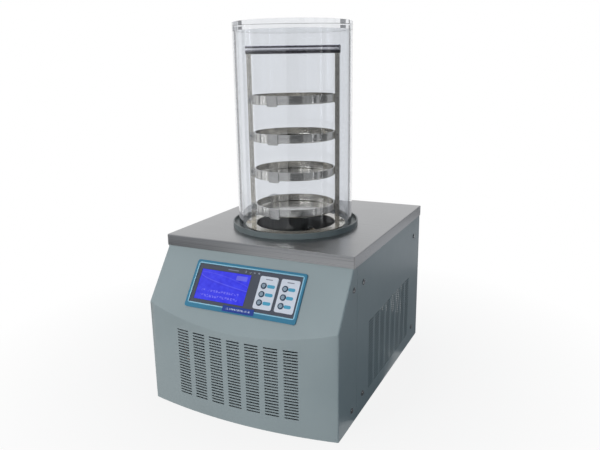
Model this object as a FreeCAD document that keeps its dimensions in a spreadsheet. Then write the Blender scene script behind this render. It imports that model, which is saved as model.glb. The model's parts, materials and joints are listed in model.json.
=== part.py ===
"""Bench-top freeze dryer: cabinet, cold trap, bell jar, tray rack and refrigeration set.

Frame: X to the right, Y to the back, Z up, millimetres.  The origin is the middle of the
bounding box at bench level.  Sizes live in one spreadsheet and every sub-part is bound to it.
"""
import FreeCAD, Part

import math
import os
import re

import Sketcher
from FreeCAD import Placement, Rotation, Vector

SIZES = {
    # cabinet
    "body_width": 446.0,        # across the outer faces of the side panels
    "body_height": 364.0,       # from the cabinet's lower edge to the top plate's face
    "foot_height": 6.0,
    "foot_radius": 15.0,
    "foot_inset": 48.0,
    "sheet": 1.5,               # thickness of the painted and the stainless sheet
    "top_width": 450.0,
    "top_depth": 495.0,
    "top_flange": 25.0,         # height of the top plate's turned-down edge
    "top_corner": 2.5,
    "nose_run": 78.6,           # how far the nose's corners stand ahead of the top plate
    "nose_bow": 23.0,           # rise of the bowed nose at its middle
    "nose_edge": 232.0,         # height of the nose's corners above the cabinet's lower edge
    "nose_round": 4.0,          # bend radius along the nose's crease and corners
    "rear_reach": 18.4,         # how far the rear fittings stand behind the top plate
    "seam_back": 21.5,          # joint between nose cheek and side panel
    "seam_gap": 0.6,
    "lap_gap": 0.3,             # slack between sheets that lap
    "slope_tuck": 2.0,          # the sloped face starts this far behind the flange's face
    "pan_rise": 20.0,
    "service_width": 140.0,     # opening in the floor pan
    "service_depth": 120.0,
    "post_leg": 30.0,
    "post_sheet": 2.0,
    "post_edge": 8.0,           # metal left around a screw at a post's edge
    "post_clear": 14.0,         # how far the front posts keep behind the nose's brow
    "post_tail": 18.0,
    # louvre slots
    "slot_height": 3.0,
    "nose_slot": 30.7,
    "nose_columns": 7,
    "nose_column_pitch": 42.5,
    "nose_rows": 24,
    "nose_row_pitch": 6.39,
    "nose_slot_low": 38.5,
    "side_slot": 31.0,
    "side_columns": 8,
    "side_column_pitch": 39.7,
    "side_rows": 25,
    "side_row_pitch": 6.42,
    "side_slot_low": 35.0,
    "side_slot_front": 110.5,
    "rear_columns": 3,
    "rear_rows": 14,
    "rear_slot_low": 55.0,
    "rear_vent_reach": 165.0,
    "rear_vent_start": 85.0,
    "side_edge": 12.0,
    # screws of the cabinet
    "screw_head": 6.0,
    "screw_rise": 2.4,
    "screw_shank": 2.0,
    "screw_length": 8.0,
    "screw_small": 1.5,
    "screw_front": 57.5,
    "screw_rear": 440.0,
    "screw_high": 294.0,
    "screw_low": 32.0,
    "side_screw_up": 8.0,       # the side panel's lower screws above the nose's
    "rear_screw_in": 7.0,
    "rear_screw_up": 30.0,
    "cheek_high_front": 2.0,
    "cheek_low_front": -7.0,
    # control panel, measured down the sloped face from the flange
    "bezel_width": 262.4,
    "bezel_height": 106.0,
    "bezel_down": 25.0,
    "bezel_rise": 3.0,
    "bezel_border": 7.2,
    "bezel_foot": 11.5,
    "bezel_corner": 5.0,
    "overlay_rise": 1.5,
    "fit_gap": 0.3,
    "screen_width": 120.0,
    "screen_height": 66.4,
    "screen_left": -114.3,
    "screen_down": 44.3,
    "module_border": 4.0,
    "pad_width": 42.0,
    "pad_height": 70.0,
    "pad_corner": 4.0,
    "pad_rise": 2.7,
    "pad_one_left": 29.0,
    "pad_two_left": 78.0,
    "pad_down": 41.7,
    "button_radius": 6.5,
    "button_rise": 4.4,
    "button_inset": 12.3,
    "button_down": 62.3,
    "button_pitch": 18.0,
    "button_travel": 1.0,
    "button_gap": 0.25,
    "button_collar": 1.0,       # thickness of the collar that keeps a button in
    "collar_reach": 1.2,
    "button_edge": 0.8,
    "stem_radius": 2.0,
    "stem_clear": 6.0,
    "board_drop": 12.0,
    "board_sheet": 1.6,
    "board_inset": 1.0,
    "board_short": 20.0,        # how much less high the board is than the frame
    "board_low": 8.0,
    "standoff_radius": 3.0,
    "standoff_in": 5.0,
    "chip_sheet": 3.0,
    "switch_side": 6.0,
    "plate_width": 74.0,
    "plate_height": 12.6,
    "plate_left": -38.0,
    "plate_down": 115.7,
    "plate_sheet": 0.8,
    "lamp_radius": 2.4,
    "lamp_down": 38.2,
    "lamp_left": -8.0,
    "lamp_pitch": 10.4,
    "lamp_rise": 1.2,
    # cold trap and its surroundings
    "jar_back": 200.0,          # jar axis behind the top plate's front edge
    "trap_bore": 93.0,
    "trap_depth": 170.0,
    "trap_flange": 119.0,
    "trap_lip": 2.5,
    "coil_tube": 4.0,
    "coil_turns": 6,
    "coil_pitch": 14.2,
    "coil_low": 155.0,          # first turn, below the top plate's face
    "jacket_wall": 37.0,
    "jacket_floor": 36.0,
    "pipe_radius": 14.0,
    "pipe_wall": 1.5,
    "pipe_down": 45.0,
    "port_flange": 20.0,
    "port_rim": 3.0,
    "port_seat": 13.1,          # recess for a centring ring in the port's face
    "seat_depth": 3.0,
    "port_cone": 3.5,
    "drain_radius": 6.0,
    "drain_bore": 4.0,
    "drain_height": 89.0,
    "drain_bend": 25.0,
    "drain_stub": 20.0,
    # bell jar
    "seal_radius": 147.0,
    "seal_lip": 3.5,
    "seal_rise": 12.5,
    "seal_floor": 5.0,
    "jar_radius": 133.0,
    "jar_wall": 8.0,
    "jar_height": 450.5,
    "lid_sheet": 18.0,
    # rack and trays
    "rack_turn": 25.67,         # rack plane turned about the jar axis, degrees
    "leg_width": 10.6,
    "leg_sheet": 5.0,
    "base_outer": 117.0,
    "base_inner": 93.5,
    "base_sheet": 3.0,
    "handle_up": 398.0,         # handle axis above the top plate
    "handle_radius": 9.5,
    "handle_wall": 1.5,
    "tray_count": 4,
    "tray_low": 35.0,           # underside of the lowest tray above the top plate
    "tray_pitch": 82.4,
    "tray_radius": 92.0,
    "tray_height": 18.2,
    "tray_sheet": 1.0,
    "strap_height": 20.0,
    "strap_sheet": 1.4,
    "strap_wrap": 68.0,         # degrees of tray rim that each strap follows
    "lug_width": 24.0,
    "lug_drop": 4.5,
    # refrigeration set
    "condenser_width": 270.0,
    "condenser_depth": 36.0,
    "condenser_height": 130.0,
    "condenser_ahead": 58.0,
    "condenser_lift": 22.0,
    "fin_pitch": 6.0,
    "fin_gap": 4.6,
    "fin_depth": 12.0,
    "end_sheet": 1.5,
    "end_lap": 4.0,
    "bend_radius": 10.0,
    "fan_tip": 58.0,
    "shroud_depth": 14.0,
    "collar_depth": 14.0,
    "shroud_foot": 30.0,
    "fan_gap": 3.0,
    "fan_hub": 17.0,
    "fan_blades": 5,
    "fan_chord": 26.0,
    "blade_sheet": 2.0,
    "blade_pitch": 32.0,
    "shaft_radius": 3.0,
    "shaft_gap": 0.05,
    "motor_radius": 34.0,
    "motor_length": 40.0,
    "motor_back": 12.0,
    "hub_depth": 16.0,
    "arm_sheet": 2.0,
    "arm_width": 10.0,
    "arm_clear": 5.0,
    "can_half_length": 82.0,
    "can_half_width": 58.0,
    "can_height": 150.0,
    "can_left": 104.0,
    "can_back": 415.0,
    "mount_height": 16.0,
    "foot_plate": 3.0,
    "foot_lap": 4.0,
    "can_round": 28.0,
    "seam_rise": 3.0,
    "seam_width": 4.0,
    "cover_length": 34.0,       # terminal cover on the can's end
    "cover_width": 40.0,
    "cover_height": 46.0,
    "cover_out": 16.0,
    "cover_up": 30.0,
    "discharge_rise": 60.0,
    "suction_rise": 110.0,
    "stub_in": 30.0,
    "stub_out": 14.0,
    "inlet_out": 12.0,
    "mount_radius": 11.0,
    "mount_groove": 2.5,
    "mount_bolt": 4.0,
    "mount_in": 6.0,
    "line_radius": 4.0,
    "line_bend": 14.0,
    "drier_radius": 11.0,
    "drier_length": 90.0,
    "neck_length": 6.0,
    "drier_shoulder": 16.0,
    "supply_width": 46.0,
    "supply_depth": 140.0,
    "supply_height": 92.0,
    "supply_in": 8.0,
    "supply_back": 100.0,
    "rib_sheet": 3.0,
    "rib_rise": 4.0,
    "rib_short": 10.0,
    # rear fittings
    "entry_width": 48.0,
    "entry_height": 58.0,
    "entry_left": 130.0,
    "entry_up": 262.0,
    "rocker_width": 13.0,
    "rocker_height": 22.0,
    "rocker_tilt": 9.0,
    "rocker_down": 7.0,
    "rocker_in": 2.5,
    "rocker_pin": 1.5,
    "rocker_back": 2.0,
    "rocker_end": 3.4,
    "rocker_crown": 5.6,
    "entry_rim": 2.0,
    "entry_lap": 6.0,
    "entry_shoulder": 4.0,
    "entry_depth": 30.0,
    "inlet_width": 24.0,
    "inlet_height": 17.0,
    "inlet_depth": 15.0,
    "inlet_up": 7.0,
    "valve_side": 24.0,
    "valve_depth": 36.0,
    "spout_radius": 8.0,
    "spout_reach": 14.0,
    "boss_radius": 6.0,
    "boss_reach": 2.0,
    "stem_depth": 12.0,
    "lever_gap": 0.5,
    "lever_hub": 9.0,
    "lever_sheet": 4.0,
    "lever_width": 9.0,
    "sensor_back": 430.0,
    "stub_radius": 8.0,
    "stub_drop": 10.0,
    "sensor_radius": 13.0,
    "sensor_edge": 3.5,
    "sensor_height": 48.0,
    "lever_reach": 32.0,
}

doc = FreeCAD.newDocument("freeze_dryer")
sheet = doc.addObject("Spreadsheet::Sheet", "Sizes")
for row, (alias, number) in enumerate(SIZES.items(), start=1):
    sheet.set(f"A{row}", alias)
    sheet.set(f"B{row}", str(number))
    sheet.setAlias(f"B{row}", alias)
doc.recompute()

# Places that several sub-parts share, as expressions over the sheet.
PLATE = "((nose_run + nose_bow - top_depth - rear_reach) / 2)"
LOW = "foot_height"
TOP = "(foot_height + body_height)"
JAR = f"({PLATE} + jar_back)"
HALF = "(body_width / 2)"
BACK = f"({PLATE} + top_depth - sheet - lap_gap)"
PAN_FLOOR = f"({LOW} + sheet)"
POST_SIDE = f"({HALF} - 2 * sheet - 2 * lap_gap)"
PAN_BACK = f"({BACK} - 2 * sheet - 2 * lap_gap)"
NOSE_RADIUS = f"(({HALF}^2 + nose_bow^2) / (2 * nose_bow))"
NOSE_CENTRE = f"({PLATE} - nose_run - nose_bow + {NOSE_RADIUS})"
SLOPE_TOP = f"({TOP} - top_flange)"
SLOPE_RUN = "(nose_run + slope_tuck)"
SLOPE_FALL = f"({SLOPE_TOP} - {LOW} - nose_edge)"
SLOPE_LENGTH = f"sqrt({SLOPE_RUN}^2 + {SLOPE_FALL}^2)"
TRAP_OUTER = "(trap_bore + sheet)"
COIL_RADIUS = f"({TRAP_OUTER} + lap_gap + coil_tube)"
JACKET_BORE = f"({COIL_RADIUS} + coil_tube + lap_gap)"
JACKET_RADIUS = f"({JACKET_BORE} + jacket_wall)"
TRAP_FLOOR = f"({TOP} - trap_depth)"
JACKET_LOW = f"({TRAP_FLOOR} - sheet - jacket_floor)"
PIPE_UP = f"({TOP} - pipe_down)"
LEG_LOW = f"({TOP} + trap_lip + base_sheet)"
DRAIN_UP = f"({LOW} + drain_height)"
STUB_END = f"({TRAP_FLOOR} - sheet - drain_stub)"
COIL_LOW = f"({TOP} - coil_low)"
LEG_INNER = "(tray_radius + fit_gap + strap_sheet + 2 * shaft_gap)"
BUTTON_STEM = "(board_drop - stem_clear)"
CONDENSER_UP = f"({PAN_FLOOR} + condenser_lift)"
CONDENSER_FRONT = f"({PLATE} - condenser_ahead)"
CONDENSER_END = "(condenser_width / 2 + end_sheet)"
INLET_UP = f"({CONDENSER_UP} + condenser_height - 15)"
OUTLET_UP = f"({CONDENSER_UP} + 15)"
DRIER_X = f"({CONDENSER_END} + 28)"
DRIER_FRONT = f"({CONDENSER_FRONT} + condenser_depth + 2)"
SHROUD_FRONT = f"({CONDENSER_FRONT} + condenser_depth + lap_gap)"
FAN_MIDDLE = f"({SHROUD_FRONT} + shroud_depth + 4)"
FAN_UP = f"({CONDENSER_UP} + condenser_height / 2)"
CAN_LOW = f"({PAN_FLOOR} + mount_height + foot_plate)"
CAN_Y = f"({PLATE} + can_back)"
DISCHARGE_UP = f"({CAN_LOW} + discharge_rise)"
SUCTION_UP = f"({CAN_LOW} + suction_rise)"
OUTLET_STUB = ("-can_left - stub_in", f"{CAN_Y} - can_half_width - stub_out", DISCHARGE_UP)
INLET_STUB = ("-can_left + can_half_length + inlet_out", CAN_Y, SUCTION_UP)
ROCKER_Y = f"({BACK} - rocker_in)"
SENSOR_Y = f"({PLATE} + sensor_back)"
STUB_LOW = f"({PIPE_UP} - pipe_radius - stub_drop)"
VALVE_FRONT = f"({BACK} - sheet - valve_depth)"
ENTRY_LOW = f"({LOW} + entry_up)"
ENTRY_MIDDLE = "(entry_left + entry_width / 2)"
ROCKER_UP = f"({ENTRY_LOW} + entry_height - rocker_height / 2 - rocker_down)"


def bound(text):
    """Return an expression with every size name pointed at the sheet."""
    def point(match):
        word = match.group(0)
        return f"Sizes.{word}" if word in SIZES else word
    return re.sub(r"[a-z][a-z_]*[a-z]", point, text)


def value(text):
    """Return the number that an expression over the sheet stands for."""
    result = sheet.evalExpression(bound(text))
    return float(result.Value if hasattr(result, "Value") else result)


def bind(thing, **properties):
    """Bind properties of one object to expressions; a double underscore stands for a dot."""
    for name, text in properties.items():
        thing.setExpression(name.replace("__", "."), bound(text))
    return thing


def bind_place(thing, place):
    """Bind the place of one object to three expressions."""
    bind(thing, Placement__Base__x=place[0], Placement__Base__y=place[1], Placement__Base__z=place[2])
    return thing


# ---------------------------------------------------------------- primitives and booleans
def box(label, size, corner):
    """Box from its corner of least X, Y and Z."""
    thing = doc.addObject("Part::Box", label)
    bind(thing, Length=size[0], Width=size[1], Height=size[2])
    return bind_place(thing, corner)


TURNS = {
    "z": Rotation(),
    "x": Rotation(Vector(0, 1, 0), 90),
    "-x": Rotation(Vector(0, 1, 0), -90),
    "y": Rotation(Vector(1, 0, 0), -90),
    "-y": Rotation(Vector(1, 0, 0), 90),
}


def rod(label, radius, length, start, axis="z"):
    """Round bar from the middle of its first end."""
    thing = doc.addObject("Part::Cylinder", label)
    bind(thing, Radius=radius, Height=length)
    thing.Placement = Placement(Vector(), TURNS[axis])
    return bind_place(thing, start)


def cut(label, base, tools):
    """Base less every tool."""
    thing = doc.addObject("Part::Cut", label)
    thing.Base = base
    thing.Tool = tools[0] if len(tools) == 1 else fuse(f"{label}_tools", tools)
    return thing


def fuse(label, things):
    """One solid from things that touch or overlap."""
    thing = doc.addObject("Part::MultiFuse", label)
    thing.Shapes = things
    thing.Refine = True
    return thing


def common(label, things):
    """What all things share."""
    thing = doc.addObject("Part::MultiCommon", label)
    thing.Shapes = things
    return thing


def group(label, things):
    """Separate like pieces that share one node."""
    thing = doc.addObject("Part::Compound", label)
    thing.Links = things
    return thing


def shaped(label, shape):
    """Object that holds a shape made from the sheet's sizes in this file."""
    thing = doc.addObject("Part::Feature", label)
    thing.Shape = shape
    return thing


def round_edges(label, base, wanted, radius):
    """Fillet the edges of base that the test picks."""
    doc.recompute()
    edges = [i for i, edge in enumerate(base.Shape.Edges, start=1) if wanted(edge)]
    thing = doc.addObject("Part::Fillet", label)
    thing.Base = base
    thing.Edges = [(i, value(radius), value(radius)) for i in edges]
    return thing


def is_along(edge, direction):
    """True for a straight edge along a direction."""
    if edge.Curve.TypeId != "Part::GeomLine":
        return False
    return abs(abs(edge.tangentAt(edge.FirstParameter).dot(direction)) - 1) < 1e-6


# ---------------------------------------------------------------- bodies and sketches
def new_body(label):
    """Empty PartDesign body."""
    return doc.addObject("PartDesign::Body", label)


def new_sketch(body, role, offset="0"):
    """Sketch on one of the body's own origin planes, lifted along that plane's normal."""
    sketch = body.newObject("Sketcher::SketchObject", f"{body.Name}_sketch")
    plane = next(part for part in body.Origin.OriginFeatures if part.Role == role)
    sketch.AttachmentSupport = (plane, [""])
    sketch.MapMode = "FlatFace"
    sketch.setExpression("AttachmentOffset.Base.z", bound(offset))
    return sketch


def pin_point(sketch, geometry, end, place):
    """Bind one point of a sketch to two expressions."""
    for kind, text in zip(("DistanceX", "DistanceY"), place):
        number = sketch.addConstraint(Sketcher.Constraint(kind, geometry, end, value(text)))
        sketch.setExpression(f"Constraints[{number}]", bound(text))


def pin_size(sketch, kind, geometry, text):
    """Bind one size of a sketch to an expression."""
    number = sketch.addConstraint(Sketcher.Constraint(kind, geometry, value(text)))
    sketch.setExpression(f"Constraints[{number}]", bound(text))


def draw_outline(sketch, points, bows=None):
    """Closed outline through points; bows gives the radius of sides that bulge down, left to right."""
    bows = bows or {}
    spots = [Vector(value(x), value(y), 0) for x, y in points]
    first = sketch.GeometryCount
    for side, start in enumerate(spots):
        end = spots[(side + 1) % len(spots)]
        edge = Part.LineSegment(start, end)
        if side in bows:
            radius = value(bows[side])
            rise = radius - math.sqrt(radius ** 2 - ((end - start).Length / 2) ** 2)
            edge = Part.Arc(start, (start + end) / 2 - Vector(0, rise, 0), end)
        sketch.addGeometry(edge, False)
    for side, place in enumerate(points):
        before = first + (side - 1) % len(spots)
        sketch.addConstraint(Sketcher.Constraint("Coincident", before, 2, first + side, 1))
        pin_point(sketch, first + side, 1, place)
    for side, radius in bows.items():
        pin_size(sketch, "Radius", first + side, radius)
    return sketch


def draw_circle(sketch, centre, radius):
    """Circle pinned at its centre."""
    spot = Vector(value(centre[0]), value(centre[1]), 0)
    ring = sketch.addGeometry(Part.Circle(spot, Vector(0, 0, 1), value(radius)), False)
    pin_point(sketch, ring, 3, centre)
    pin_size(sketch, "Radius", ring, radius)
    return sketch


def draw_slot(sketch, centre, length, height):
    """Slot with round ends, lying along the sketch's horizontal."""
    reach = f"({length} - {height}) / 2"
    ends = [(f"{centre[0]} - {reach}", centre[1]), (f"{centre[0]} + {reach}", centre[1])]
    left, right = (Vector(value(x), value(y), 0) for x, y in ends)
    radius = value(f"{height} / 2")
    up, rise = Vector(0, 0, 1), Vector(0, radius, 0)
    quarter = math.pi / 2
    pieces = [
        Part.ArcOfCircle(Part.Circle(left, up, radius), quarter, 3 * quarter),
        Part.LineSegment(left - rise, right - rise),
        Part.ArcOfCircle(Part.Circle(right, up, radius), -quarter, quarter),
        Part.LineSegment(right + rise, left + rise),
    ]
    a, b, c, d = (sketch.addGeometry(piece, False) for piece in pieces)
    for pair in ((a, 2, b, 1), (b, 2, c, 1), (c, 2, d, 1), (d, 2, a, 1)):
        sketch.addConstraint(Sketcher.Constraint("Tangent", *pair))
    pin_point(sketch, a, 3, ends[0])
    number = sketch.addConstraint(Sketcher.Constraint("DistanceX", c, 3, right.x))
    sketch.setExpression(f"Constraints[{number}]", bound(ends[1][0]))
    sketch.addConstraint(Sketcher.Constraint("Horizontal", b))
    pin_size(sketch, "Radius", a, f"{height} / 2")
    return sketch


def pad(body, sketch, length, reverse=False):
    """Pad a sketch of the body."""
    feature = body.newObject("PartDesign::Pad", f"{body.Name}_pad")
    feature.Profile = sketch
    feature.setExpression("Length", bound(length))
    feature.Reversed = reverse
    return feature


def pocket(body, sketch, length, reverse=False):
    """Pocket a sketch of the body; it cuts against the sketch's normal unless reversed."""
    feature = body.newObject("PartDesign::Pocket", f"{body.Name}_pocket")
    feature.Profile = sketch
    feature.setExpression("Length", bound(length))
    feature.Reversed = reverse
    return feature


def repeat(body, feature, sketch, columns, column_pitch, rows, row_pitch):
    """Repeat one pocket in columns and rows along its sketch's axes."""
    grid = body.newObject("PartDesign::MultiTransform", f"{body.Name}_grid")
    steps = []
    for axis, count, pitch in (("H_Axis", columns, column_pitch), ("V_Axis", rows, row_pitch)):
        step = body.newObject("PartDesign::LinearPattern", f"{body.Name}_row")
        step.Direction = (sketch, [axis])
        step.setExpression("Occurrences", bound(count))
        step.setExpression("Length", bound(f"({count} - 1) * {pitch}"))
        steps.append(step)
    grid.Originals = [feature]
    grid.Transformations = steps
    grid.Refine = False
    body.Tip = grid
    return grid


def turned(label, profile, place, tilt=None):
    """Piece turned about its own Z axis from (radius, height) points, then set in place."""
    body = new_body(label)
    sketch = draw_outline(new_sketch(body, "XZ_Plane"), profile)
    spin = body.newObject("PartDesign::Revolution", f"{label}_revolution")
    spin.Profile = sketch
    spin.ReferenceAxis = (sketch, ["V_Axis"])
    spin.Angle = 360
    body.Tip = spin
    if tilt:
        body.Placement = Placement(Vector(), TURNS[tilt])
    return bind_place(body, place)


def slab(label, role, points, length, offset="0", bows=None, reverse=False):
    """Plate of one outline, padded from a plane of its own body."""
    body = new_body(label)
    sketch = draw_outline(new_sketch(body, role, offset), points, bows)
    pad(body, sketch, length, reverse)
    return body


# ---------------------------------------------------------------- tubes
def tube_wire(points, bend):
    """Straight runs through points, joined by tangent arcs of one radius."""
    spots = [Vector(*(value(text) for text in point)) for point in points]
    edges = []
    start = spots[0]
    for before, corner, after in zip(spots, spots[1:], spots[2:]):
        inward, outward = (before - corner).normalize(), (after - corner).normalize()
        half_turn = (math.pi - inward.getAngle(outward)) / 2
        setback = bend * math.tan(half_turn)
        enter, leave = corner + inward * setback, corner + outward * setback
        bisector = (inward + outward).normalize()
        middle = corner + bisector * (bend / math.cos(half_turn) - bend)
        edges.append(Part.LineSegment(start, enter).toShape())
        edges.append(Part.Arc(enter, middle, leave).toShape())
        start = leave
    edges.append(Part.LineSegment(start, spots[-1]).toShape())
    return Part.Wire(edges)


def swept(wire, radius):
    """Round solid along a wire."""
    start = wire.Edges[0].Vertexes[0].Point
    along = wire.Edges[0].tangentAt(wire.Edges[0].FirstParameter)
    ring = Part.Wire([Part.Circle(start, along, radius).toShape()])
    return wire.makePipeShell([ring], True, True)


def tube(label, points, radius, bore, bend):
    """Bent tube along points, hollow where bore is given."""
    wire = tube_wire(points, value(bend))
    shape = swept(wire, value(radius))
    if bore:
        shape = shape.cut(swept(wire, value(bore)))
    return shaped(label, shape)


# ---------------------------------------------------------------- cabinet sheets
def nose_outline(inset, back):
    """Plan of the cabinet with its bowed nose, moved in by an inset; side 1 is the bow."""
    half = f"({HALF} - {inset})"
    corner = f"({NOSE_CENTRE} - sqrt(({NOSE_RADIUS} - {inset})^2 - {half}^2))"
    points = [(f"-{half}", back), (f"-{half}", corner), (half, corner), (half, back)]
    return points, {1: f"{NOSE_RADIUS} - {inset}"}


def make_front_panel():
    """Nose: one sheet with cheeks, a bowed lower face with slots and a sloped upper face."""
    high = f"({TOP} - sheet - lap_gap)"
    points, bows = nose_outline("0", f"{PLATE} + seam_back")
    body = new_body("nose_sheet")
    solid = pad(body, draw_outline(new_sketch(body, "XY_Plane", LOW), points, bows), f"{high} - {LOW}")
    reach = "(2 * (nose_run + nose_bow))"
    wedge = [
        (f"{PLATE} + slope_tuck", f"{high} + 10"),
        (f"{PLATE} + slope_tuck - {reach}", f"{high} + 10"),
        (f"{PLATE} + slope_tuck - {reach}", f"{SLOPE_TOP} - {reach} * {SLOPE_FALL} / {SLOPE_RUN}"),
        (f"{PLATE} + slope_tuck", SLOPE_TOP),
    ]
    slope = draw_outline(new_sketch(body, "YZ_Plane", f"{HALF} + 5"), wedge)
    pocket(body, slope, "body_width + 10")
    doc.recompute()
    sloped = body.Tip
    rounded = body.newObject("PartDesign::Fillet", "nose_bends")
    rounded.Base = (sloped, nose_bend_edges(sloped.Shape))
    rounded.setExpression("Radius", bound("nose_round"))
    doc.recompute()
    hollow = body.newObject("PartDesign::Thickness", "nose_wall")
    hollow.Base = (rounded, nose_open_faces(rounded.Shape))
    hollow.setExpression("Value", bound("sheet"))
    hollow.Reversed = True
    hollow.Join = 1
    doc.recompute()
    drill_sheet(body, "YZ_Plane", f"{HALF} + 5", cheek_screw_places(), "body_width + 10")
    gap = "(2 * fit_gap)"
    window = box("nose_window", (f"screen_width + {gap}", f"screen_height + {gap}", "20"),
                 ("screen_left - fit_gap", "-screen_down - screen_height - fit_gap", "-10"))
    holes = [rod("nose_hole", "button_radius + button_gap", "20", (x, y, "-10")) for x, y in button_places()]
    openings = lay_on_slope(group("nose_openings", [window] + holes))
    panel = new_body("front_panel")
    panel.BaseFeature = cut("nose_with_openings", body, [openings])
    slot = new_sketch(panel, "XZ_Plane", f"-({PLATE} - nose_run + 12)")
    first_x = "-(nose_columns - 1) / 2 * nose_column_pitch"
    draw_slot(slot, (first_x, f"{LOW} + nose_slot_low"), "nose_slot", "slot_height")
    field = pocket(panel, slot, "nose_bow + 30", reverse=True)
    repeat(panel, field, slot, "nose_columns", "nose_column_pitch", "nose_rows", "nose_row_pitch")
    return panel


def nose_bend_edges(shape):
    """Names of the nose's bend edges: its crease, its corners and the edges of its slope."""
    names = []
    plate = value(PLATE)
    for index, edge in enumerate(shape.Edges, start=1):
        middle = edge.valueAt((edge.FirstParameter + edge.LastParameter) / 2)
        ahead = middle.y < plate + value("slope_tuck") - 1
        inside = value(LOW) + 1 < middle.z < value(SLOPE_TOP) - 1
        if ahead and inside:
            names.append(f"Edge{index}")
    return names


def nose_open_faces(shape):
    """Names of the faces that the nose sheet leaves open: its back, its top and its underside."""
    names = []
    for index, face in enumerate(shape.Faces, start=1):
        bounds = face.BoundBox
        flat_back = bounds.YLength < 0.01 and bounds.YMin > value(f"{PLATE} + seam_back") - 1
        level = bounds.ZLength < 0.01
        if flat_back or level:
            names.append(f"Face{index}")
    return names


def make_base_pan():
    """Folded floor pan that follows the nose, with a service opening under the trap's drain."""
    body = new_body("base_pan_sheet")
    points, bows = nose_outline("(sheet + 2 * lap_gap)", PAN_BACK)
    pad(body, draw_outline(new_sketch(body, "XY_Plane", LOW), points, bows), "pan_rise")
    points, bows = nose_outline("(2 * sheet + 2 * lap_gap)", f"{PAN_BACK} - sheet")
    inner = draw_outline(new_sketch(body, "XY_Plane", f"{LOW} + pan_rise"), points, bows)
    pocket(body, inner, "pan_rise - sheet")
    side, front, back = "(service_width / 2)", f"({JAR} - service_depth / 2)", f"({JAR} + service_depth / 2)"
    opening = [(f"-{side}", front), (side, front), (side, back), (f"-{side}", back)]
    pocket(body, draw_outline(new_sketch(body, "XY_Plane", f"{PAN_FLOOR} + 1"), opening), "sheet + 2")
    body.Label = "base_pan"
    return body


def side_panel(label, hand):
    """Side sheet with its field of louvre slots and a turned-in rear edge."""
    skin = span_start(hand, HALF, "sheet")
    front, back = f"{PLATE} + seam_back + seam_gap", f"{BACK} - sheet - lap_gap"
    high = f"{TOP} - sheet - lap_gap"
    body = new_body(label)
    outline = [(front, LOW), (back, LOW), (back, high), (front, high)]
    pad(body, draw_outline(new_sketch(body, "YZ_Plane", skin), outline), "sheet")
    inner = span_start(hand, HALF, "side_edge")
    edge = [(inner, f"{back} - sheet"), (f"{inner} + side_edge", f"{back} - sheet"),
            (f"{inner} + side_edge", back), (inner, back)]
    pad(body, draw_outline(new_sketch(body, "XY_Plane", LOW), edge), f"{high} - {LOW}")
    drill_sheet(body, "YZ_Plane", f"{skin} + sheet + 1", side_screw_places(), "sheet + 2")
    drill_sheet(body, "XZ_Plane", f"-({back} + 1)", rear_screw_places(hand), "sheet + 2", reverse=True)
    slot = new_sketch(body, "YZ_Plane", f"{skin} + sheet + 1")
    draw_slot(slot, (f"{PLATE} + side_slot_front", f"{LOW} + side_slot_low"), "side_slot", "slot_height")
    field = pocket(body, slot, "sheet + 2")
    repeat(body, field, slot, "side_columns", "side_column_pitch", "side_rows", "side_row_pitch")
    return body


def span_start(hand, outer, depth):
    """Least X of what reaches inwards by a depth from an outer face; hand is 1 right, -1 left."""
    return f"({outer} - {depth})" if hand > 0 else f"-{outer}"


def drill_sheet(body, role, offset, places, depth, reverse=False):
    """Screw holes through a sheet at places in one plane."""
    sketch = new_sketch(body, role, offset)
    for place in places:
        draw_circle(sketch, place, "screw_shank + shaft_gap")
    return pocket(body, sketch, depth, reverse)


def make_rear_panel():
    """Rear sheet with its vents and the holes for the fittings."""
    body = new_body("rear_panel")
    high = f"{TOP} - sheet - lap_gap"
    outline = [(f"-{HALF}", LOW), (HALF, LOW), (HALF, high), (f"-{HALF}", high)]
    pad(body, draw_outline(new_sketch(body, "XZ_Plane", f"-{BACK}"), outline), "sheet")
    behind = f"-({BACK} + 1)"
    drill_sheet(body, "XZ_Plane", behind, rear_screw_places(), "sheet + 2", reverse=True)
    openings = new_sketch(body, "XZ_Plane", behind)
    draw_circle(openings, ("0", PIPE_UP), "pipe_radius + fit_gap")
    draw_circle(openings, ("0", DRAIN_UP), "spout_radius + fit_gap")
    draw_circle(openings, ("0", f"{DRAIN_UP} + valve_side"), "boss_radius + fit_gap")
    wide = "(entry_width - 2 * entry_lap + 2 * fit_gap)"
    tall = "(entry_height - 2 * entry_shoulder + 2 * fit_gap)"
    left, low = "(entry_left + entry_lap - fit_gap)", f"({ENTRY_LOW} + entry_shoulder - fit_gap)"
    draw_outline(openings, [(left, low), (f"{left} + {wide}", low),
                            (f"{left} + {wide}", f"{low} + {tall}"), (left, f"{low} + {tall}")])
    pocket(body, openings, "sheet + 2", reverse=True)
    for start in ("-rear_vent_reach", "rear_vent_start"):
        slot = new_sketch(body, "XZ_Plane", behind)
        draw_slot(slot, (start, f"{LOW} + rear_slot_low"), "side_slot", "slot_height")
        field = pocket(body, slot, "sheet + 2", reverse=True)
        repeat(body, field, slot, "rear_columns", "side_column_pitch", "rear_rows", "side_row_pitch")
    return body


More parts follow.
